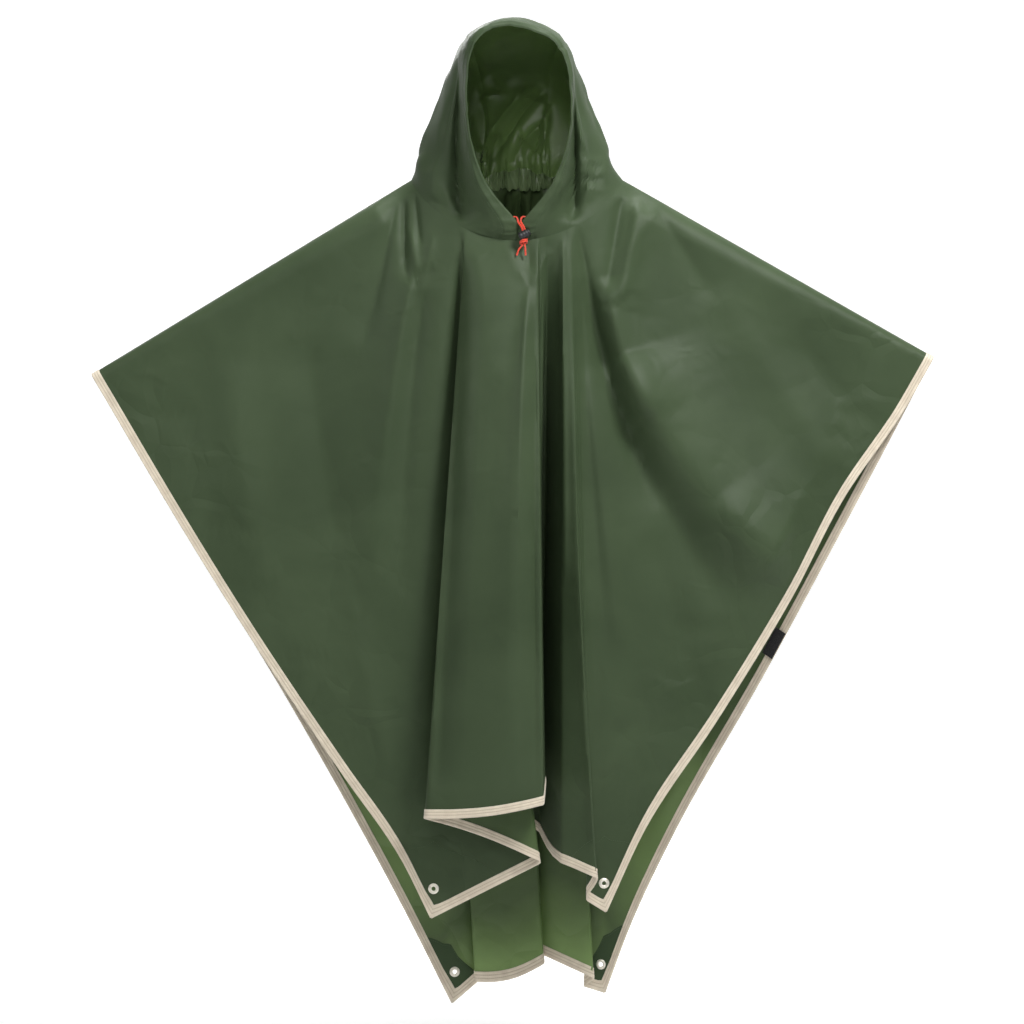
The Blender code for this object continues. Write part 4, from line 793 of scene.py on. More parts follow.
class Panel:
    """One half of the body cloth, from the shoulder fold down to its hem.

    Columns of the grid run round its outer boundary, from the left tip down
    the side edge, along the hem and up to the right tip; rows run from the
    neck hole out to that boundary.
    """

    def __init__(self, back, drop, folds, left_edge, right_edge, creases):
        self.back, self.drop, self.folds = back, drop, folds
        self.edges = {"left": left_edge, "right": right_edge}
        self.levels = np.linspace(0, 1, BODY_ROWS) ** ROW_CROWDING
        steps = SIDE_STEPS[back]
        self.side_distances = drop * (np.arange(steps) / steps) ** COLUMN_CROWDING
        self.build()
        self.crease(creases)

    def side_point(self, side, share):
        """Points of a side edge at shares of its length from the tip."""
        tip = np.array(TIP_LEFT if side == "left" else TIP_RIGHT)
        fold = self.folds[0] if side == "left" else self.folds[-1]
        line = np.array([fold.x, fold.y_in, fold.z]) - tip
        outward = unit(np.array([line[2], 0.0, -line[0]])) * (1 if side == "left" else -1)
        share = np.asarray(share, float)[:, None]
        return tip + line * share + outward * smooth_table(self.edges[side], share)

    def side_neck(self, side):
        """Neck points of the columns that end on a side edge."""
        corner = self.folds[0].neck if side == "left" else 180 - self.folds[-1].neck
        bearing = (corner * np.arctan2(self.side_distances, HALF_WIDTH)
                   / math.atan2(self.drop, HALF_WIDTH))
        return neck_point(bearing if side == "left" else 180 - bearing, self.back)

    def section(self, levels):
        """Plan of the folded stretch at every level, and the columns of its creases."""
        levels = np.asarray(levels, float)
        spread = 1 - (1 - levels) ** 3
        groups = []
        for fold in self.folds:
            grown = np.clip((levels - fold.start) / (1 - fold.start), 0, None)
            x = fold.loose_x + (fold.x - fold.loose_x) * grown
            double = fold.y_in != fold.y_out
            corners = []
            for step, depth in enumerate((fold.y_in, fold.y_out) if double else (fold.y_in,)):
                neck = neck_point(fold.neck + 0.8 * step, self.back)
                corners.append(np.stack([neck[0] * (1 - levels) + x * levels,
                                         neck[1] * (1 - spread) + depth * spread], axis=-1))
            groups.append(corners)
        out, middles = [], []
        for index, fold in enumerate(self.folds):
            first, final = groups[index][0], groups[index][-1]
            first_place = len(out)
            if fold.round == 0:
                out.append(first)
                leave = first
            else:
                arrive = step_towards(first, groups[index - 1][-1], fold.round)
                leave = step_towards(final, groups[index + 1][0], fold.round)
                handle = 4 / 3 if len(groups[index]) == 2 else 1.0
                a, b = lerp(arrive, first, handle), lerp(leave, final, handle)
                for t in np.linspace(0, 1, TURN_STEPS + 1):
                    out.append(arrive * (1 - t) ** 3 + 3 * a * t * (1 - t) ** 2
                               + 3 * b * t * t * (1 - t) + leave * t ** 3)
            middles.append((first_place + len(out) - 1) / 2)
            if index < len(self.folds) - 1:
                follower = self.folds[index + 1]
                target = groups[index + 1][0]
                stop = (target if follower.round == 0
                        else step_towards(target, final, follower.round))
                pitch = FINE_STEP if follower.name in FINE_RUNS else RUN_STEP
                count = max(1, round(abs(follower.x - fold.x) / pitch))
                for step in range(1, count + 1):
                    out.append(lerp(leave, stop, step / (count + 1)))
        return np.array(out), np.array(middles)

    def hem_heights(self, travelled, middles):
        """Heights of the hem, straight from crease to crease and eased at the wide ones."""
        places = np.interp(middles, np.arange(len(travelled)), travelled)
        heights = np.interp(travelled, places, [fold.z for fold in self.folds])
        for start, stop, fold in zip(places, places[1:], self.folds[1:]):
            share = np.clip((travelled - start) / (stop - start), 0, 1)
            heights = heights + HEM_RISES.get(fold.name, 0.0) * np.sin(math.pi * share)
        for fold, place in zip(self.folds, places):
            reach = HEM_EASES.get(fold.name, 1.6 * fold.round if fold.round >= 0.02 else 0.0)
            if reach > 0:
                near = np.abs(travelled - place) < reach
                ends = np.interp([place - reach, place + reach], travelled, heights)
                t = (travelled[near] - place + reach) / (2 * reach)
                heights[near] = ((1 - t) ** 2 * ends[0] + 2 * t * (1 - t) * fold.z
                                 + t ** 2 * ends[1])
        return heights

    def arm_depth(self, x, z):
        """Depth that an outstretched arm gives the cloth below the shoulder fold."""
        side = np.where(x < NECK_CENTRE_X, -1, 1)
        start_x = NECK_CENTRE_X + side * NECK_HALF_WIDTH
        tip_x = np.where(side < 0, TIP_LEFT[0], TIP_RIGHT[0])
        tip_z = np.where(side < 0, TIP_LEFT[2], TIP_RIGHT[2])
        line_x, line_z = tip_x - start_x, tip_z - NECK_HEIGHT
        length = np.hypot(line_x, line_z)
        off_x, off_z = x - start_x, z - NECK_HEIGHT
        along = np.clip((off_x * line_x + off_z * line_z) / length ** 2, 0, 1)
        below = np.abs(off_x * line_z - off_z * line_x) / length
        radius = ARM_RADIUS_NECK + (ARM_RADIUS_TIP - ARM_RADIUS_NECK) * along
        rise = np.minimum(below / radius, 1.0)
        return radius * np.sqrt(rise * (2 - rise)) * np.exp(
            -np.maximum(0.0, below - radius) / ARM_FADE)

    def build(self):
        """Works out the grid and its flat coordinates."""
        levels = self.levels
        spread = 1 - (1 - levels) ** 3
        plan, middles = self.section(levels)
        hem = plan[:, -1]
        neck_x = self.section([0.0])[0][:, 0, 0]
        travelled = travel(hem)
        heights = self.hem_heights(travelled, middles)
        bearing = np.degrees(np.arccos(np.clip((NECK_CENTRE_X - neck_x) / NECK_HALF_WIDTH, -1, 1)))
        neck = neck_point(bearing, self.back)
        middle = np.stack([plan[..., 0], plan[..., 1],
                           neck[:, 2:] * (1 - levels) + heights[:, None] * levels], axis=-1)
        sides = {}
        for side in ("left", "right"):
            inner = self.side_neck(side)[:, None]
            outer = self.side_point(side, self.side_distances / self.drop)[:, None]
            flat = lerp(inner, outer, levels[None, :, None])
            flat[..., 1] = inner[..., 1] * (1 - spread) + outer[..., 1] * spread
            sides[side] = flat
        points = np.concatenate([sides["left"], middle, sides["right"][::-1]])
        arm = self.arm_depth(points[..., 0], points[..., 2]) * np.minimum(1.0, levels / 0.12)
        points[..., 1] = (-1, 1)[self.back] * np.cbrt(np.abs(points[..., 1]) ** 3 + arm ** 3)
        edge = self.side_distances
        self.outer_flat = np.concatenate([
            np.stack([np.full_like(edge, -HALF_WIDTH), edge], -1),
            np.stack([(travelled / travelled[-1] - 0.5) * BODY_WIDTH,
                      np.full_like(travelled, self.drop)], -1),
            np.stack([np.full_like(edge, HALF_WIDTH), edge], -1)[::-1]])
        self.count = len(edge)
        reach = np.linalg.norm(self.outer_flat, axis=1)
        along = NECK_CUT_RADIUS + levels[None] * (reach[:, None] - NECK_CUT_RADIUS)
        self.flat = (self.outer_flat / reach[:, None])[:, None] * along[..., None]
        self.points = points
        self.soften(self.count)
        self.soften(len(points) - 1 - self.count)

    def soften(self, column):
        """Eases the bend of the cloth along one column."""
        reach = SOFT_COLUMNS
        for turn in range(10):
            part = self.points[column - reach - 1:column + reach + 2]
            weight = (1 - np.abs(np.arange(-reach, reach + 1)) / (reach + 1))[:, None, None] * 0.5
            fade = np.clip((1 - self.levels) / 0.25, 0, 1)[None, :, None]
            part[1:-1] += ((part[2:] + part[:-2]) / 2 - part[1:-1]) * weight * fade

    def crease(self, creases):
        """Adds the creases and a slow unevenness to the depth of every layer."""
        x, z = self.points[..., 0], self.points[..., 2]
        waves = BODY_RIPPLE * ripple(x, z / 2.5, BODY_WAVE, 2 + self.back)
        height = relief(x, z, creases) + waves
        shoulder = np.minimum(1.0, np.abs(self.flat[..., 1]) / SHOULDER_FADE)
        neck = np.clip(self.levels / NECK_FADE, 0, 1)[None]
        edge_distance = np.minimum(HALF_WIDTH - np.abs(self.flat[..., 0]),
                                   self.drop - self.flat[..., 1])
        edge = np.clip(edge_distance / EDGE_FADE, 0.06, 1)
        self.points[..., 1] += (-1, 1)[self.back] * height * shoulder * neck * edge

    def place(self, u, v):
        """Fractional columns and rows where the flat cloth has (u across, v down)."""
        u, v = np.broadcast_arrays(np.asarray(u, float), np.asarray(v, float))
        scale = np.minimum(HALF_WIDTH / np.maximum(np.abs(u), 1e-9),
                           self.drop / np.maximum(v, 1e-9))
        last = len(self.outer_flat) - 1
        hem = np.arange(self.count, last + 1 - self.count)
        side = np.arange(self.count + 1)
        side_v = self.outer_flat[:self.count + 1, 1]
        left = np.interp(v * scale, side_v, side)
        column = np.where(scale * v >= self.drop - 1e-9,
                          np.interp(u * scale, self.outer_flat[hem, 0], hem),
                          np.where(u < 0, left, last - left))
        reach = np.hypot(u, v)
        level = (reach - NECK_CUT_RADIUS) / (reach * scale - NECK_CUT_RADIUS)
        return column, np.interp(level, self.levels, np.arange(BODY_ROWS))

    def at(self, u, v, lift=0.0):
        """Points over flat places of the cloth, lift outwards, and their normals."""
        column, row = self.place(u, v)
        i = np.clip(column.astype(int), 0, len(self.points) - 2)
        j = np.clip(row.astype(int), 0, BODY_ROWS - 2)
        s, t = (column - i)[..., None], (row - j)[..., None]
        found = []
        for grid in (self.points, self.normals):
            found.append((grid[i, j] * (1 - s) + grid[i + 1, j] * s) * (1 - t)
                         + (grid[i, j + 1] * (1 - s) + grid[i + 1, j + 1] * s) * t)
        normal = unit(found[1])
        return found[0] + normal * np.asarray(lift)[..., None], normal


def step_towards(start, end, distance):
    """Points on the way from start to end, at most 45 percent along."""
    length = np.linalg.norm(end - start, axis=-1, keepdims=True)
    share = np.minimum(distance, 0.45 * length) / np.maximum(length, 1e-9)
    return start * (1 - share) + end * share


def make_body(front, back, looks):
    """Front and back as one cloth with the neck hole in its middle."""
    ring = np.concatenate([front.points, back.points[::-1][1:-1]])
    normals = -grid_normals(ring, closed=True)
    normals *= np.sign(-(normals[len(front.points) // 4, BODY_ROWS // 2, 1]))
    front.normals = normals[:len(front.points)]
    back.normals = np.concatenate([normals[:1], normals[len(front.points):][::-1],
                                   normals[len(front.points) - 1:len(front.points)]])
    behind = back.flat[::-1][1:-1] * np.array([1, -1])
    flat = np.concatenate([front.flat, behind])
    return shell("body_cloth", ring, normals, looks, uv=flat, closed=True)


# ------------------------------------------------------------------ trim on the body
def corner_sign(side):
    """Side of the flat cloth that a corner is on."""
    return -1 if side == "left" else 1


def band(name, sections, material, uv=None, capped=True):
    """A closed band through sections that are closed rings."""
    sections = np.asarray(sections)
    faces = ring_faces(*sections.shape[:2], capped=capped, flip=True)
    made = add_mesh(name, sections.reshape(-1, 3), faces, [material],
                    uv=None if uv is None else np.asarray(uv).reshape(-1, 2))
    outwards(made)
    return made


def outwards(thing):
    """Turns all the faces of a closed mesh outwards."""
    bm = bmesh.new()
    bm.from_mesh(thing.data)
    bmesh.ops.recalc_face_normals(bm, faces=bm.faces)
    bm.to_mesh(thing.data)
    bm.free()


TAPE_PROFILE = ((1.00, 0.25), (0.985, 0.85), (0.90, 1.0), (0.74, 1.0), (0.66, 0.78), (0.58, 1.0),
                (0.41, 1.0), (0.33, 0.78), (0.25, 1.0), (0.08, 1.0), (0.0, 0.92))


def tape_section(panel, u, v, inward_u, inward_v, room):
    """Ring of points round the edge at one place of it."""
    width = min(TAPE_WIDTH, room)
    base = CLOTH / 2 + TAPE_GAP
    shares = np.array([share for share, height in TAPE_PROFILE]) * width
    lifts = base + TAPE_WALL * np.array([height for share, height in TAPE_PROFILE])
    u_all = u + inward_u * shares
    v_all = v + inward_v * shares
    outer = panel.at(u_all, v_all, lifts)[0]
    inner = panel.at(u_all, v_all, -lifts)[0]
    edge, normal = panel.at(u, v)
    inside = panel.at(u + inward_u * 0.004, v + inward_v * 0.004)[0]
    away = unit(edge - inside)
    turn = [edge + away * (lifts[-1] * math.sin(a)) + normal * (lifts[-1] * math.cos(a))
            for a in np.radians([30, 60, 90, 120, 150])]
    ring = np.concatenate([outer, turn, inner[::-1]])
    across = np.concatenate([shares, np.zeros(5), shares[::-1]])
    return ring, across


def edge_samples(values, finest):
    """The given values with more between them where they are far apart."""
    out = [values[0]]
    for a, b in zip(values, values[1:]):
        count = max(1, math.ceil(abs(b - a) / finest))
        out += [a + (b - a) * (k + 1) / count for k in range(count)]
    return out


def make_tape(name, route, material):
    """Binding along a route of (panel, u, v, inward u, inward v, room) places."""
    sections, uv, along, last = [], [], 0.0, None
    for stop in route:
        ring, across = tape_section(*stop)
        middle = ring.mean(axis=0)
        along += 0.0 if last is None else float(np.linalg.norm(middle - last))
        last = middle
        sections.append(ring)
        uv.append([(along, a) for a in across])
    return band(name, sections, material, uv)


def hem_route(panel):
    """Places along a hem, from the left corner to the right one."""
    hem = panel.outer_flat[panel.count:len(panel.outer_flat) - panel.count, 0]
    inset = [HALF_WIDTH - x for x in TAPE_CORNER_STOPS]
    values = sorted(set(list(hem[1:-1]) + [-x for x in inset] + inset))
    return [(panel, u, panel.drop, 0.0, -1.0, HALF_WIDTH - abs(u) + TAPE_CORNER_STOPS[0])
            for u in edge_samples(values, 0.007)]


def side_route(side, front, back):
    """Places up one side edge of the back, over the tip and down the front."""
    sign = corner_sign(side)
    stops = []
    for panel, upwards in ((back, True), (front, False)):
        near = [panel.drop - x for x in TAPE_CORNER_STOPS[::-1]]
        values = [v for v in panel.side_distances if v < near[0] - 0.002]
        values = edge_samples(values[0 if upwards else 1:] + near, 0.008)
        stops += [(panel, sign * HALF_WIDTH, v, -sign, 0.0, panel.drop - v + TAPE_CORNER_STOPS[0])
                  for v in (values[::-1] if upwards else values)]
    return stops


def facing_out(points, normals, *others):
    """A grid and what goes with it, its columns turned round if its faces look inwards."""
    parts = (points, normals, *others)
    if np.sum(grid_normals(points) * normals) < 0:
        return [part[::-1] for part in parts]
    return parts


def make_patch(name, panel, side, material):
    """A quarter-round reinforcement on the inner face of a corner."""
    sign = corner_sign(side)
    turn = np.radians(np.linspace(0, 90, 25))[:, None]
    reach = np.linspace(0.004, PATCH_RADIUS, 22)[None]
    along_hem = np.cos(turn) * reach * PATCH_HEM_SHARE[panel.back]
    u = sign * (HALF_WIDTH - np.maximum(along_hem, 0.003))
    v = panel.drop - np.maximum(np.sin(turn) * reach, 0.003)
    points, normals, uv = facing_out(*panel.at(u, v, np.full(u.shape, -PATCH_DEPTH)),
                                     np.stack([u, v], axis=-1))
    return shell(name, points, normals, [material, material], uv=uv, thickness=LINING)


def stitches(lines):
    """Points and faces of short threads along lines of (point, normal)."""
    verts, faces = [], []
    for points, normals in lines:
        travelled = travel(points)
        start = SEAM_GAP
        while start + SEAM_STITCH < travelled[-1]:
            ring_points = []
            for share, size in ((0.0, 0.25), (0.2, 1.0), (0.8, 1.0), (1.0, 0.25)):
                s = start + SEAM_STITCH * share
                middle, normal = (
                    np.array([np.interp(s, travelled, line[:, k]) for k in range(3)])
                    for line in (points, normals))
                normal = unit(normal)
                ring_points.append((middle + normal * THREAD_LIFT * size, normal, size))
            way = unit(ring_points[-1][0] - ring_points[0][0])
            faces += ring_faces(4, 6, len(verts))
            for middle, normal, size in ring_points:
                side = np.cross(way, normal)
                for angle in (0, 60, 120, 180, 240, 300):
                    a = math.radians(angle)
                    verts.append(middle + THREAD_RADIUS * size * (
                        side * math.cos(a) + normal * math.sin(a)))
            start += SEAM_STITCH + SEAM_GAP
    return verts, faces


def arc_lines(panel, side):
    """The arc of stitches that holds a patch, on both faces of the cloth."""
    sign = corner_sign(side)
    turn = np.radians(np.linspace(7, 83, 60))
    reach = PATCH_RADIUS - PATCH_MARGIN
    u = sign * (HALF_WIDTH - np.cos(turn) * reach * PATCH_HEM_SHARE[panel.back])
    v = panel.drop - np.sin(turn) * reach
    outer, outwards_there = panel.at(u, v, np.full(u.shape, CLOTH / 2))
    inner = panel.at(u, v, np.full(u.shape, -PATCH_STITCH_DEPTH))[0]
    return [(outer, outwards_there), (inner, -outwards_there)]


def turned(name, profile, centre, axis, material):
    """A ring turned from a closed profile of (radius, height)."""
    axis = unit(np.asarray(axis, float))
    first, second = square_to(axis)
    rings = []
    for step in range(RING_STEPS + 1):
        angle = math.tau * (step % RING_STEPS) / RING_STEPS
        arm = first * math.cos(angle) + second * math.sin(angle)
        rings.append([centre + arm * r + axis * h for r, h in profile])
    made = band(name, rings, material, capped=False)
    bm = bmesh.new()
    bm.from_mesh(made.data)
    bmesh.ops.remove_doubles(bm, verts=bm.verts, dist=1e-6)
    bmesh.ops.recalc_face_normals(bm, faces=bm.faces)
    bm.to_mesh(made.data)
    bm.free()
    made.data.shade_smooth()
    return made


def eyelet_place(panel, side):
    """Middle of an eyelet on the cloth, and its axis."""
    u = corner_sign(side) * (HALF_WIDTH - EYELET_SIDE_INSET)
    v = panel.drop - EYELET_HEM_INSET
    middle = panel.at(u, v)[0]
    across = panel.at(u + EYELET_SPAN, v)[0] - panel.at(u - EYELET_SPAN, v)[0]
    down = panel.at(u, v + EYELET_SPAN)[0] - panel.at(u, v - EYELET_SPAN)[0]
    axis = unit(np.cross(across, down))
    return middle, axis * np.sign(axis @ panel.at(u, v)[1])


def make_eyelet(name, panel, side, material):
    """A pressed eyelet: a domed flange outside, a barrel and a rolled lip inside."""
    centre, axis = eyelet_place(panel, side)
    hole, flange = EYELET_HOLE_RADIUS, EYELET_FLANGE_RADIUS
    share = np.linspace(0, 1, 12)
    bulge = np.sin(math.pi * np.minimum(1.0, share * 1.05 + 0.08)) ** 0.7
    dome = list(zip(lerp(hole, flange, share), 0.0006 + 0.0013 * bulge))
    under = [(r, -h - 0.0004) for r, h in dome[::-1]]
    return turned(name, dome + under, centre, axis, material)


def punch(target, places, radius):
    """Round holes through a thin shell."""
    verts, faces = [], []
    for centre, axis in places:
        first, second = square_to(axis)
        faces += ring_faces(2, PUNCH_STEPS, len(verts))
        verts += [centre + axis * height + radius * (first * math.cos(a) + second * math.sin(a))
                  for height in (-PUNCH_REACH, PUNCH_REACH)
                  for a in np.arange(PUNCH_STEPS) * math.tau / PUNCH_STEPS]
    mesh = bpy.data.meshes.new("cutter")
    mesh.from_pydata(verts, [], faces)
    cutter = bpy.data.objects.new("cutter", mesh)
    outwards(cutter)
    bpy.context.scene.collection.objects.link(cutter)
    cut = target.modifiers.new("holes", "BOOLEAN")
    cut.operation, cut.solver, cut.object = "DIFFERENCE", "EXACT", cutter
    cut.material_mode = "INDEX"
    apply_modifiers(target)
    bpy.data.objects.remove(cutter, do_unlink=True)


def apply_modifiers(thing):
    """Bakes the modifiers of a mesh into it."""
    graph = bpy.context.evaluated_depsgraph_get()
    mesh = bpy.data.meshes.new_from_object(thing.evaluated_get(graph),
                                           preserve_all_data_layers=True, depsgraph=graph)
    thing.modifiers.clear()
    thing.data = mesh


def make_closure(name, panel, side, material):
    """A strip of hook-and-loop tape on the inner face of a side edge, over its binding."""
    sign = corner_sign(side)
    v = CLOSURE_DROP + np.linspace(-0.5, 0.5, 15)[:, None] * CLOSURE_LENGTH
    inset = np.linspace(0.0, 1.0, 9)[None] * CLOSURE_WIDTH
    u = sign * (HALF_WIDTH - inset + 0 * v)
    lift = np.full(u.shape, -(CLOTH / 2 + TAPE_WALL + CLOSURE_GAP + CLOSURE_THICKNESS / 2))
    points, normals = facing_out(*panel.at(u, v + 0 * inset, lift))
    return shell(name, points, normals, [material, material], thickness=CLOSURE_THICKNESS)


# ------------------------------------------------------------------ hood
def hood_foot(bearing, side):
    """Point of the neck seam at a bearing from the middle of the front."""
    back = bearing > 90
    from_left = bearing - 90 if back else 90 - bearing
    return neck_point(from_left if side == "left" else 180 - from_left, back)


def hood_guides(arch, side):
    """Guide points of one half of an arch, from the neck seam up, without the crown."""
    if arch.throat is None:
        return [hood_foot(arch.neck, side)] * 5
    sign = corner_sign(side)
    guides = [hood_foot(arch.neck, side)]
    for index, (half, y, z) in enumerate((arch.throat, arch.jaw, arch.cheek, arch.seam)):
        lean = arch.lean * 0.25 if index == 3 else 0.0
        guides.append(np.array([arch.centre + lean + sign * half, y, z]))
    return guides


def hood_grid():
    """The hood's surface: arches from front to back, each from left to right."""
    guides = []
    for arch in HOOD_ARCHES:
        crown = (neck_point(90, True) if arch.crown is None
                 else np.array([arch.centre + arch.lean, *arch.crown]))
        guides.append(hood_guides(arch, "left") + [crown] + hood_guides(arch, "right")[::-1])
    guides = np.array(guides)
    arches = np.array([catmull_rom(guides[:, k], HOOD_STEPS_ALONG)
                       for k in range(guides.shape[1])]).transpose(1, 0, 2)
    bearings = catmull_rom([[arch.neck] for arch in HOOD_ARCHES], HOOD_STEPS_ALONG)[:, 0]
    for arch, bearing in zip(arches, bearings):
        bearing = min(max(bearing, 0.0), HOOD_ARCHES[-1].neck)
        arch[0] = hood_foot(bearing, "left")
        arch[-1] = hood_foot(bearing, "right")
    grid = np.array([catmull_rom(arch, HOOD_STEPS_OVER) for arch in arches])
    for line in range(HOOD_STEPS_ALONG // 3):
        straight = 1 - line / (HOOD_STEPS_ALONG // 3)
        for step in range(1, HOOD_STEPS_OVER):
            share = step / HOOD_STEPS_OVER
            for near, far, here in ((0, HOOD_STEPS_OVER, step),
                                    (-1, -1 - HOOD_STEPS_OVER, -1 - step)):
                flat = lerp(grid[line, near], grid[line, far], share)
                grid[line, here] = lerp(grid[line, here], flat, straight)
    return grid


def hood_normals(grid):
    """Outward normals; the last arch, which lies on the neck seam, takes its neighbour's."""
    normals = -grid_normals(grid)
    normals[-1] = normals[-2]
    return normals


def hood_surface():
    """The creased hood: its grid, normals and flat coordinates."""
    grid = hood_grid()
    normals = hood_normals(grid)
    along = np.arange(len(grid)) / HOOD_STEPS_ALONG
    over = np.arange(grid.shape[1]) / HOOD_STEPS_OVER
    a = along[:, None] + 0 * over[None]
    b = np.minimum(over, over[-1] - over)[None] + 0 * a
    x, y, z = grid[..., 0], grid[..., 1], grid[..., 2]
    in_front = np.clip(EAR_GUIDE - a, 0, 1)
    behind = np.clip(a - EAR_GUIDE, 0, 1)
    edge_fade = np.clip(b / 0.35, 0, 1) * np.clip(a / 0.35, 0.1, 1)
    forward = relief(x, z, HOOD_FRONT_CREASES) * in_front * edge_fade
    height = relief(x, z, HOOD_BACK_CREASES) * behind
    height += relief(y, z, HOOD_SIDE_CREASES) * np.clip((np.abs(x - 0.006) - 0.05) / 0.04, 0, 1)
    height += HOOD_RIPPLE * ripple(x + 1.3 * y, z, HOOD_WAVE, 5)
    height *= edge_fade
    # the band that holds the cord stands up a little, with a stitched trough behind it
    band_end = np.clip((0.72 - a) / 0.10, 0, 1)
    band_start = np.clip(b / 0.5, 0, 1)
    height += BAND_RISE * band_end * (3 * band_end - 2 * band_end ** 2) * band_start
    height -= BAND_TROUGH * np.exp(-((a - BAND_SEAM) / 0.05) ** 2)
    pucker = np.sin(over * 21.0 + 2.3 * np.sin(over * 4.1)) * np.sin(over * 6.3 + 1.0)
    height += BAND_PUCKER * band_end * pucker[None] * band_start
    # seams of the crown strip
    height -= SEAM_TROUGH * np.exp(-((b - CROWN_SEAM) / 0.06) ** 2)
    height += SEAM_RIDGE * np.exp(-((b - CROWN_SEAM - 0.18) / 0.10) ** 2)
    # gathers at the nape
    gather = (np.exp(-np.clip(5.8 - a, 0, None) ** 2 / 0.25) * np.clip((6 - a) / 0.15, 0, 1)
              * np.clip(b / 0.3, 0, 1))
    height += gather * NAPE_RIPPLE * np.sin(x * math.tau / NAPE_PITCH + 2.0 * np.sin(x * 130.0))
    grid = grid + normals * height[..., None]
    grid[..., 1] -= forward
    # the edge of the face opening rolls inwards
    roll = np.clip(1 - a / 0.14, 0, 1)
    grid = grid - normals * (RIM_ROLL * (1 - np.sqrt(1 - roll ** 2)))[..., None]
    normals = hood_normals(grid)
    flat = np.stack([a * GUIDE_LENGTH, over[None] * GUIDE_LENGTH + 0 * a], axis=-1)
    return grid, normals, flat


def make_hood(looks):
    """Left side, crown strip and right side, and the casing inside the rim."""
    grid, normals, flat = hood_surface()
    last = grid.shape[1] - 1
    left = CROWN_SEAM * HOOD_STEPS_OVER
    right = last - left
    pieces = []
    for name, start, stop in (("hood_left_cloth", 0, left), ("hood_crown_cloth", left, right),
                              ("hood_right_cloth", right, last)):
        part = slice(start, stop + 1)
        pieces.append(shell(name, grid[::-1, part], normals[::-1, part], looks,
                            uv=flat[::-1, part]))
    first = int(CASING_START * HOOD_STEPS_OVER)
    rows = 2 * HOOD_STEPS_ALONG // 3 + 1
    part = (slice(0, rows), slice(first, last - first + 1))
    casing = grid[part] - normals[part] * CASING_DEPTH
    swell = np.sin(np.linspace(0, math.pi, rows)) ** 0.8 * CASING_SWELL
    casing -= normals[part] * swell[:, None, None]
    pieces.append(shell("hood_casing_cloth", casing[::-1], normals[part][::-1], looks,
                        uv=flat[part][::-1]))
    return pieces, grid, normals


def make_nape_gathers(look):
    """The crumpled seam allowance that stands up inside the nape, highest in the middle."""
    bearings = np.linspace(58, 122, GATHER_COLUMNS)
    share = (bearings - bearings[0]) / (bearings[-1] - bearings[0])
    foot = neck_point(bearings, True)
    rise = 0.003 + 0.022 * np.sin(math.pi * share) ** 1.6
    phase = bearings * 0.95 + 2.6 * np.sin(bearings * 0.37) + 1.7 * np.sin(bearings * 0.83)
    fine = bearings * 2.9 + 2.0 * np.sin(bearings * 0.61)
    drop = 0.003 + 0.007 * np.abs(np.sin(bearings * 0.42 + 0.6 * np.sin(bearings * 1.1)))
    rows = []
    for level in np.linspace(0, 1, GATHER_ROWS):
        crumple = (np.arcsin(np.sin(phase + 2.2 * level)) * 0.0026
                   + np.arcsin(np.sin(fine + 5.0 * level * np.sin(bearings * 0.23))) * 0.0010)
        depth = 0.0040 + 0.0080 * level ** 0.7 + crumple * (0.5 + 0.7 * level)
        wavy = 0.0030 * np.sin(phase * 0.5 + 1.0)
        height = -drop * (1 - level) ** 2 + rise * level + wavy * level
        rows.append(foot + np.stack([0.0012 * level * np.cos(phase), -depth, height], axis=-1))
    points = np.array(rows).transpose(1, 0, 2)
    normals = grid_normals(points)
    normals *= -np.sign(normals[..., 1].mean())
    flat = np.stack(np.broadcast_arrays(
        share[:, None] * GATHER_CUT[0], np.linspace(0, GATHER_CUT[1], GATHER_ROWS)[None]), axis=-1)
    return shell("nape_gathers", points, normals, [look, look], uv=flat, thickness=LINING)


def hood_lines(grid, normals):
    """Stitch lines on the hood: the casing's, and beside both crown seams."""
    row, seam = int(0.64 * HOOD_STEPS_ALONG), CROWN_SEAM * HOOD_STEPS_OVER
    places = [(row, slice(6, -6))]
    places += [(slice(1, -6), column) for column in (seam + 2, grid.shape[1] - 1 - seam - 2)]
    return [(grid[place] + normals[place] * (CLOTH / 2), normals[place]) for place in places]


# ------------------------------------------------------------------ drawcord
def make_cord(name, route, material):
    """One free end of the drawcord."""
    smooth = catmull_rom(route, 5)
    return add_tube(name, smooth, CORD_RADIUS, material, 16), smooth


def make_knot(material):
    """Both strands tied round each other below the stopper."""
    x, y, _ = STOPPER_CENTRE
    turn = np.linspace(0.0, KNOT_TURNS * math.tau, 90)
    rise = np.linspace(0.0021, -0.0021, 90)
    wrap = np.stack([x + 0.0052 * np.cos(turn), y + 0.0044 * np.sin(turn),
                     KNOT_HEIGHT + 1.25 * rise + 0.0024 * np.cos(turn + 0.8)], axis=-1)
    return add_tube("drawcord_knot", wrap, CORD_RADIUS, material, 14)


def make_stopper(material):
    """A barrel stopper with a push button, waisted and ribbed."""
    axis = np.array([math.cos(STOPPER_TILT), 0.0, math.sin(STOPPER_TILT)])
    outline = ((-0.0078, 0.0), (-0.0078, 0.0030), (-0.0074, 0.0044), (-0.0066, 0.0052),
               (-0.0056, 0.0056), (-0.0036, 0.0057), (-0.0026, 0.0053), (-0.0016, 0.0057),
               (0.0016, 0.0057), (0.0026, 0.0053), (0.0036, 0.0057), (0.0062, 0.0056),
               (0.0072, 0.0052), (0.0076, 0.0045), (0.0077, 0.0042), (0.0100, 0.0042),
               (0.0108, 0.0038), (0.0112, 0.0028), (0.0113, 0.0))
    profile = [(radius * 1.18, along) for along, radius in outline]
    return turned("cord_lock", profile, np.array(STOPPER_CENTRE), axis, material)


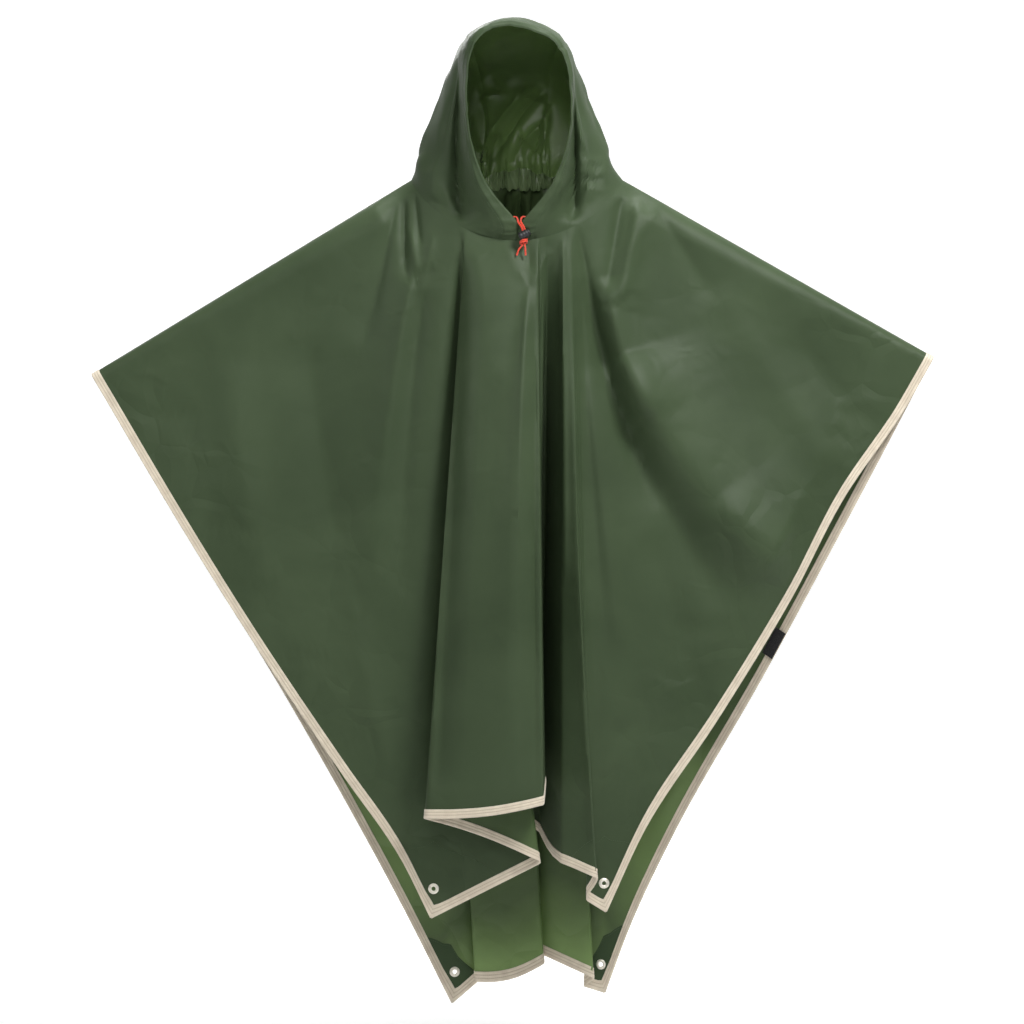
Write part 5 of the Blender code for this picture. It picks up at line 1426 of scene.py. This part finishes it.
# ------------------------------------------------------------------ stage
def make_camera():
    """Level camera in front of the garment."""
    data = bpy.data.cameras.new("camera")
    data.sensor_width = 36.0
    data.lens = data.sensor_width * CAMERA_DISTANCE * PIXELS_A_METRE / PICTURE_WIDTH
    camera = bpy.data.objects.new("camera", data)
    camera.location = (0.0, -CAMERA_DISTANCE, CAMERA_HEIGHT)
    camera.rotation_euler = (math.pi / 2, 0.0, 0.0)
    bpy.context.scene.collection.objects.link(camera)
    bpy.context.scene.camera = camera


def add_light(name, place, target, size, power):
    """A soft square light that faces a place."""
    data = bpy.data.lights.new(name, "AREA")
    data.shape = "RECTANGLE"
    data.size, data.size_y = size
    data.energy = power
    light = bpy.data.objects.new(name, data)
    light.location = place
    way = Vector(target) - Vector(place)
    light.rotation_mode = "QUATERNION"
    light.rotation_quaternion = way.to_track_quat("-Z", "Y")
    light.visible_camera = False
    bpy.context.scene.collection.objects.link(light)


def make_stage():
    """Pale floor that sweeps up behind the object, and soft light."""
    profile = [(y, FLOOR_HEIGHT) for y in (-60.0, -1.0, 0.2, 1.6)]
    profile += [(WALL_Y - SWEEP_RADIUS * (1 - math.sin(a)),
                 FLOOR_HEIGHT + SWEEP_RADIUS * (1 - math.cos(a)))
                for a in np.radians(np.linspace(0, 90, 16))]
    profile += [(WALL_Y, 9.0)]
    xs = np.linspace(-40, 40, 15)
    verts = [(x, y, z) for x in xs for y, z in profile]
    faces = [tuple(map(int, f)) for f in grid_faces(len(xs), len(profile), 0, flip=True)]
    floor = add_mesh("floor", verts, faces, [floor_look()])
    world = bpy.data.worlds.new("studio")
    world.use_nodes = True
    background = world.node_tree.nodes["Background"]
    background.inputs["Color"].default_value = (1.0, 1.0, 1.0, 1.0)
    background.inputs["Strength"].default_value = WORLD_LIGHT
    bpy.context.scene.world = world
    for light in LIGHTS:
        add_light(*light)
    view = bpy.context.scene.view_settings
    view.view_transform = "Standard"
    view.look = "None"


# ------------------------------------------------------------------ making
make_camera()

red_cord = cord_look()
cord_left, cord_left_path = make_cord("drawcord_end_left", CORD_LEFT, red_cord)
cord_right, cord_right_path = make_cord("drawcord_end_right", CORD_RIGHT, red_cord)
knot = make_knot(red_cord)
lock = make_stopper(plastic_look())

outer_look = cloth_look("cloth", (0.038, 0.058, 0.028), (0.053, 0.078, 0.039), 0.49, gloss=0.14)
# the inner faces are painted paler than the outer cloth, and the hood's inside paler still:
# painted light that shines through the cloth
inner_painted_light_look = cloth_look("cloth_inside", (0.052, 0.084, 0.032), (0.074, 0.114, 0.043), 0.38,
                        gloss=0.25, painted_through_light=(0.160, 0.250, 0.082))
hood_inner_painted_light_look = cloth_look("hood_inside", (0.100, 0.162, 0.052), (0.150, 0.236, 0.076), 0.33,
                             gloss=0.40)
# the gathered cloth is painted far paler than the rest: painted sheen on its glossy crumples
gathered_painted_sheen_look = cloth_look("gathered_cloth", (0.140, 0.210, 0.090), (0.250, 0.330, 0.170), 0.20,
                           gloss=1.0)
patch_look = cloth_look("patch_cloth", (0.034, 0.058, 0.025), (0.048, 0.080, 0.035), 0.42,
                        crumple=0.4)
tape_material, metal, loops, thread = tape_look(), metal_look(), loop_look(), thread_look()

front = Panel(False, FRONT_DROP, FRONT_FOLDS, FRONT_LEFT_EDGE, FRONT_RIGHT_EDGE, FRONT_CREASES)
back = Panel(True, BACK_DROP, BACK_FOLDS, BACK_LEFT_EDGE, BACK_RIGHT_EDGE, BACK_CREASES)
body = make_body(front, back, [outer_look, inner_painted_light_look])
hood_pieces, hood_points, hood_facing = make_hood([outer_look, hood_inner_painted_light_look])
gathers = make_nape_gathers(gathered_painted_sheen_look)

trim = []
places, seam_lines = [], hood_lines(hood_points, hood_facing)
for panel, word in ((front, "front"), (back, "back")):
    hem = make_tape("hem_binding_" + word, hem_route(panel), tape_material)
    trim.append((hem, "hem_tape_" + word, "tape"))
    for side in ("left", "right"):
        corner = word + "_" + side
        patch = make_patch("corner_patch_" + corner, panel, side, patch_look)
        punch(patch, [eyelet_place(panel, side)], PUNCH_RADIUS)
        trim.append((patch, "patch_" + corner, "patch_cloth"))
        trim.append((make_eyelet("corner_eyelet_" + corner, panel, side, metal),
                     "eyelet_" + corner, "eyelet_metal"))
        trim.append((make_closure("closure_strip_" + corner, panel, side, loops),
                     "closure_" + corner, "hook_and_loop"))
        places.append(eyelet_place(panel, side))
        seam_lines += arc_lines(panel, side)
for side in ("left", "right"):
    edge = make_tape("side_binding_" + side, side_route(side, front, back), tape_material)
    trim.append((edge, "side_tape_" + side, "tape"))
punch(body, places, PUNCH_RADIUS)
sewing = add_mesh("seam_stitches", *stitches(seam_lines), [thread])

# ------------------------------------------------------------------ riding
fitted = [(body, ("front_panel", "back_panel"), "cloth")]
fitted += [(piece, (node,), "cloth") for piece, node in zip(
    hood_pieces, ("hood_left", "hood_crown", "hood_right", "hood_casing"))]
fitted += [(gathers, (), "cloth"), (cord_left, ("drawcord_left",), "cord"),
           (cord_right, ("drawcord_right",), "cord"), (knot, ("cord_knot",), "cord"),
           (lock, ("cord_stopper",), "stopper_plastic"), (sewing, (), "cloth")]
fitted += [(made, (node,), slot) for made, node, slot in trim]
for made, nodes, slot in fitted:
    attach(made, "root")
    if nodes:
        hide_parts(*nodes)

make_stage()
